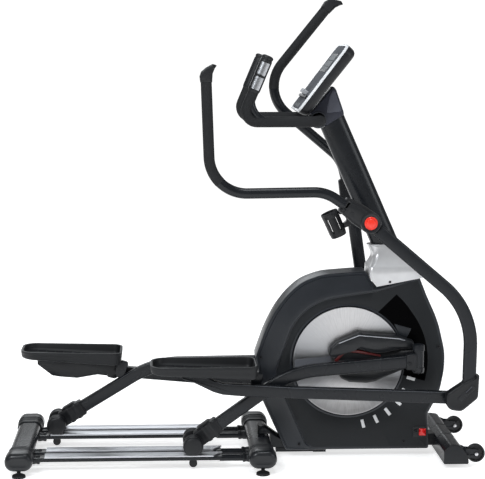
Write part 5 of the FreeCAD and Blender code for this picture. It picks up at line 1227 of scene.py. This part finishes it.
def makeFixedBar():
    # a bent tube on each side with foam, a hand grip and steel plates, and the clamp in the middle with two paler rim
    # rings painted as highlights
    shape = barShape
    lean = (shape["top"][0] + 27, shape["top"][1] - shape["z"])
    reach = math.hypot(*lean)
    ahead = np.array([lean[0] / reach, 0, lean[1] / reach])
    end = np.array([shape["top"][0], -shape["y"], shape["top"][1]]) - ahead * 10

    def route(start, inboard, step=8):
        return routeOf([tuple(start), (-27, -shape["y"], shape["z"], 85), (300, -shape["y"], shape["z"], 58),
                        (300, inboard, shape["z"])], step)

    tube = sweepOf(route(end, 0), circle(shape["tube"], 28), up=(-0.6, 0.5, 0.62))
    foamRoute = route(end - ahead * 140, -46)
    foam = sweepOf(foamRoute, circle(shape["foam"], 40), up=(-0.6, 0.5, 0.62))
    grip = end - ahead * np.linspace(146, 0, 40)[:, None]
    wide = np.interp(np.linspace(146, 0, 40), [0, 4, 12, 134, 142, 146], [17, 23, 25, 25, 23, 21]) / 25.0
    handle = sweepOf(grip, circle(25, 40), up=(0, 1, 0), scale=wide)
    knobRoute = end + ahead * np.linspace(-4, 12, 12)[:, None]
    knob = sweepOf(knobRoute, circle(25, 40), up=(0, 1, 0),
                   scale=np.interp(np.linspace(-4, 12, 12), [-4, 0, 5, 9, 12], [0.9, 1.0, 0.98, 0.86, 0.55]))
    plates = []
    for low in (18.0, 80.0):
        along = np.linspace(low, low + 52, 8)
        turn = np.linspace(-0.72, 0.72, 20)
        side = np.array([0, 1.0, 0])
        out = np.cross(ahead, side)
        line = end[None, None, :] - ahead * along[:, None, None]
        away = np.cos(turn)[None, :, None] * -side + np.sin(turn)[None, :, None] * out
        outer, inner = (line + radius * away for radius in (26.2, 23.8))
        plates.append(shellOf([np.concatenate([outer[i], inner[i][::-1]]) for i in range(len(along))]))
    bothSides("bar_foam", foam, flipped, "root", "foam_black", alone=["fixed_grips"])
    bothSides("bar_grip", joined(handle, knob), flipped, "root", "black_plastic")
    bothSides("bar_sensor", joined(*plates), flipped, "root", "sensor_steel", alone=["sensor_plates"])
    bothSides("bar_tube", tube, flipped, "root", "frame_black", alone=["fixed_handlebar"])
    ring = latheOf([(15.2, 38), (30, 38), (34, 37), (36, 34), (36, -34), (34, -37), (30, -38), (15.2, -38)], 64,
                   (300, 0, shape["z"]), 1)
    # two paler rings on the clamp's rims: painted highlights
    highlightLips = [latheOf([(28.5, 37), (33.5, 37), (33.5, 41), (32.4, 42.6), (29.6, 42.6), (28.5, 41)], 56,
                    (300, 0, shape["z"]), sign) for sign in (-1, 1)]
    makePiece("bar_clamp_lips", joined(*highlightLips), "root",
              plainMaterial("lipGrey", dict(colour=(0.045, 0.048, 0.058), rough=0.35, bump=0.05, wear=0.0)))
    onFrame("bar_clamp", ring, "black_plastic", ["handlebar_clamp"])


# base

baseShape = dict(rear=-923.0, middle=60.0, z=64.0, width=100.0, height=60.0)
railShape = dict(lanes=(122, 208), rear=-872.0, front=-104.0)


def makeBase():
    # two cross tubes with ribbed end sleeves, rounded lids and rail sockets
    shape = baseShape
    ribs = []
    lids = []
    for x in (shape["rear"], shape["middle"]):
        box = roundBox(shape["width"] - 4, shape["height"] - 2, 28, 8)
        rings = [alongY(box, x, y, shape["z"]) for y in np.linspace(-279, 279, 24)]
        node = "rear_stabiliser" if x < 0 else "middle_stabiliser"
        onFrame(node + "_tube", shellOf(rings), "frame_black", [node], 45)
        for sign in (-1, 1):
            rings = []
            for y, grow in ((186, -2), (187, 0.5), (190, 1.2), (205, 1.2), (206, 0.4), (211, 0.4), (212, 1.4),
                            (217, 1.4), (218, 0.4), (223, 0.4), (224, 1.6), (229, 1.6), (230, 0.6), (235, 0.6),
                            (236, 1.8), (246, 1.8), (250, 1.0), (250.5, -3)):
                loop = roundBox(shape["width"] + 4 + 2 * grow, shape["height"] + 6 + 2 * grow, 33, 9)
                rings.append(alongY(loop, x, y * sign, shape["z"]))
            ribs.append(shellOf(rings))
            rings = []
            for y, grow in ((248, -4), (250, 0.2), (252, 1.0), (256, 1.2), (297, 0.8), (306, -0.4), (313, -3.2),
                            (318, -8), (320.5, -14), (321.4, -20), (320.6, -22)):
                loop = roundBox(shape["width"] + 12 + 2 * grow, shape["height"] + 14 + 2 * grow, 36 + grow, 9)
                rings.append(alongY(loop, x, y * sign, shape["z"]))
            lids.append(shellOf(rings))
    sockets = []
    for y in railShape["lanes"]:
        for sign in (-1, 1):
            for x, ahead in ((shape["rear"] + 50, 1), (shape["middle"] - 50, -1)):
                profile = [(0.01, -8), (19, -8), (19, 6), (17.5, 8), (17.5, 16), (19, 18), (19, 26), (16, 28),
                           (0.01, 28)]
                sockets.append(latheOf(profile, 36, (x, y * sign, 46), ahead, "X"))
    front = [(806, 19, 3), (908, 19, 6), (906, 52, 20), (874, 96, 20), (836, 102, 20), (806, 76, 16)]
    ends = []
    for sign in (-1, 1):
        low, high = sorted((245.2 * sign, 252 * sign))
        ends.append(slabOf(front, low, high, 2.6))
        ends.append(latheOf([(0.01, 0.2), (22, 0.2), (24, 2), (24, 16), (20, 18.8), (0.01, 18.8)], 40,
                            (856, sign * 110, 0), 1, "Z"))
        ends.append(slabOf([(p[0] - 0.8 * (p[0] > 850) + 0.2, p[1] + 0.8 * (p[1] > 60), p[2]) for p in front],
                           *sorted((66 * sign, 78 * sign)), 2.0))
    beam = []
    for low, high, wide, base in ((134, 340, 46, 10.5), (292, 346, 54, 9.5)):
        box = roundBox(wide, 21.5, 4, 4)
        beam.append(shellOf([alongX(box, x, 0, base + 10.75) for x in np.linspace(low, high, 6)]))
    onFrame("lower_beam", joined(*beam), "frame_black", (), 40)
    onFrame("end_sleeves", joined(*ribs), "cap_plastic", ["stabiliser_caps"], 40)
    makePiece("end_lids", joined(*lids), "root", finish["leaf_plastic"], (), 40)
    onFrame("rail_sockets", joined(*sockets), "cap_plastic", (), 40)
    onFrame("front_ends", joined(*ends), "cap_plastic", (), 40)


def makeRails():
    # black bars under silver strips that stop at a slant, with round rods beyond them
    bars = []
    strips = []
    for sign in (-1, 1):
        for y in railShape["lanes"]:
            lane = y * sign
            box = roundBox(56, 16, 4, 4)
            bars.append(shellOf([alongX(box, x, lane, 50)
                                 for x in np.linspace(railShape["rear"], railShape["front"], 20)]))
            bars.append(latheOf([(0.01, -112), (13.5, -112), (13.5, 9), (0.01, 9)], 32, (0, lane, 45.2), 1, "X"))
            low, high = lane - 28, lane + 28
            slant = 20.0 * -sign
            plan = [(-826, low, 2), (-118 - slant, low, 2), (-118 + slant, high, 2), (-826, high, 2)]
            strip = flatPlate(plan, 58.1, 63.9, 1.6)
            strips.append(strip)
            strips.append(flatPlate(tile(-820, -150, lane - 22, lane + 22, 1), 63.7, 64.15, 0.3))
    onFrame("rail_frames", joined(*bars), "frame_black", ["rail_bars"], 40)
    onFrame("rail_strips", joined(*strips), "track_silver", ["rail_tracks"], 40)


wheelShape = dict(spokes=5, tilt=20.0)


def makeWheels():
    # transport wheels: a grooved tread, a dished side with spokes and a bright axle bolt
    for side, sign in (("right", -1), ("left", 1)):
        centre = pivotOf("transport_%s_turn" % side)
        profile = [(5.1, -12), (13, -12), (14, -10), (16, -7), (27, -7), (29, -11), (31, -13.2), (35, -13.2),
                   (37, -11), (37.4, -6), (36.4, -5), (36.4, -3), (37.5, -2), (37.5, 2), (36.4, 3), (36.4, 5),
                   (37.4, 6), (37, 11), (35, 13.2), (31, 13.2), (29, 11), (27, 7), (16, 7), (14, 10),
                   (13, 12), (5.1, 12)]
        wheel = latheOf(profile, 72, centre, 1)
        spokes = []
        for index in range(wheelShape["spokes"]):
            angle = 360 / wheelShape["spokes"] * index + wheelShape["tilt"]
            for face in (-1, 1):
                low, high = sorted((face * 5.0, face * 10.6))
                spoke = slabOf([(12, -3, 1), (30, -2.4, 1), (30, 2.4, 1), (12, 3, 1)], low, high, 1.0)
                spokes.append(moved(turned(spoke, (0, 0, 0), angle), centre))
        makePiece("travel_wheel_" + side, joined(wheel, *spokes), "transport_" + side,
                  finish["tyre_black"], ["transport_wheel_" + side], 40)
    bright = brushedMaterial("boltBright", dict(colour=(0.62, 0.62, 0.64), rough=0.3, scale=90), brushCross)
    bolts = []
    for sign in (-1, 1):
        for face in (-1, 1):
            bolts.append(latheOf([(0.01, 19.3), (8.8, 19.3), (8.6, 21.6), (7, 23), (0.01, 23.4)], 32,
                                 (942.5, sign * 214, 56), face))
    makePiece("travel_bolts", joined(*bolts), "root", bright, (), 40)


bottleShape = dict(depth=110.0, ribs=6, half=24.0, place=(352, 0, 1031))


def makeBottleHolder():
    # a cup with a thick rim ring, tall windows between ribs and a solid floor, on a short arm
    shape = bottleShape
    depth = shape["depth"]
    lean = mastShape["lean"]
    rim = latheOf([(33.9, 0), (36.6, 0.3), (37.4, -3), (37.0, -22), (35.4, -24), (33.4, -24), (33.2, -3)], 64,
                  (0, 0, 0), 1, "Z")
    floor = latheOf([(0.01, -depth + 4), (30.6, -depth + 4), (31.2, -depth + 22), (34.2, -depth + 22),
                     (33.6, -depth + 3), (31, -depth), (0.01, -depth)], 64, (0, 0, 0), 1, "Z")
    ribs = []
    for index in range(shape["ribs"]):
        turn = np.radians(np.linspace(-shape["half"], shape["half"], 12) + index * 360 / shape["ribs"] + 30)
        rings = []
        for z in np.linspace(-depth + 16, -18, 6):
            outer = 35.2 + (z + depth) * 0.012
            ring = [np.stack([outer * np.cos(turn), outer * np.sin(turn)], axis=1),
                    np.stack([(outer - 2.8) * np.cos(turn), (outer - 2.8) * np.sin(turn)], axis=1)[::-1]]
            flat = np.concatenate(ring)
            rings.append(np.concatenate([flat, np.full((len(flat), 1), z)], axis=1))
        ribs.append(shellOf(rings))
    arm = slabOf([(33, -86, 4), (60, -88, 6), (80, -60, 6), (76, -12, 4), (36, -10, 3), (36, -26, 6), (52, -30, 8),
                  (56, -62, 8), (36, -66, 4)], -14, 14, 2.5)
    cup = turned(joined(rim, floor, arm, *ribs), (0, 0, 0), -lean)
    onFrame("bottle_cup", moved(cup, shape["place"]), "black_plastic", ["bottle_holder"], 40)


makeHousing()
makePanels()
makeDisc()
makeCrankCover()
print("housing, panels and crank covers ready")
makeMast()
makeCollar()
makeHead()
makeHandles()
print("mast and handles ready")
makeLinks()
makePedals()
makeTubes()
print("linkage ready")
makeConsole()
makeFixedBar()
makeBottleHolder()
print("console and bar ready")
makeBase()
makeRails()
makeWheels()
print("base ready")
replaced = {name for piece in bpy.data.objects for name in piece.get("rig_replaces", [])}
for node in sorted(frame["nodes"]):
    if node not in replaced:
        cleanCopy(node, finish["wheel_black" if node.startswith("roller_axle") else slotOf[node]])
print("other nodes:", len(frame["nodes"]) - len(replaced))
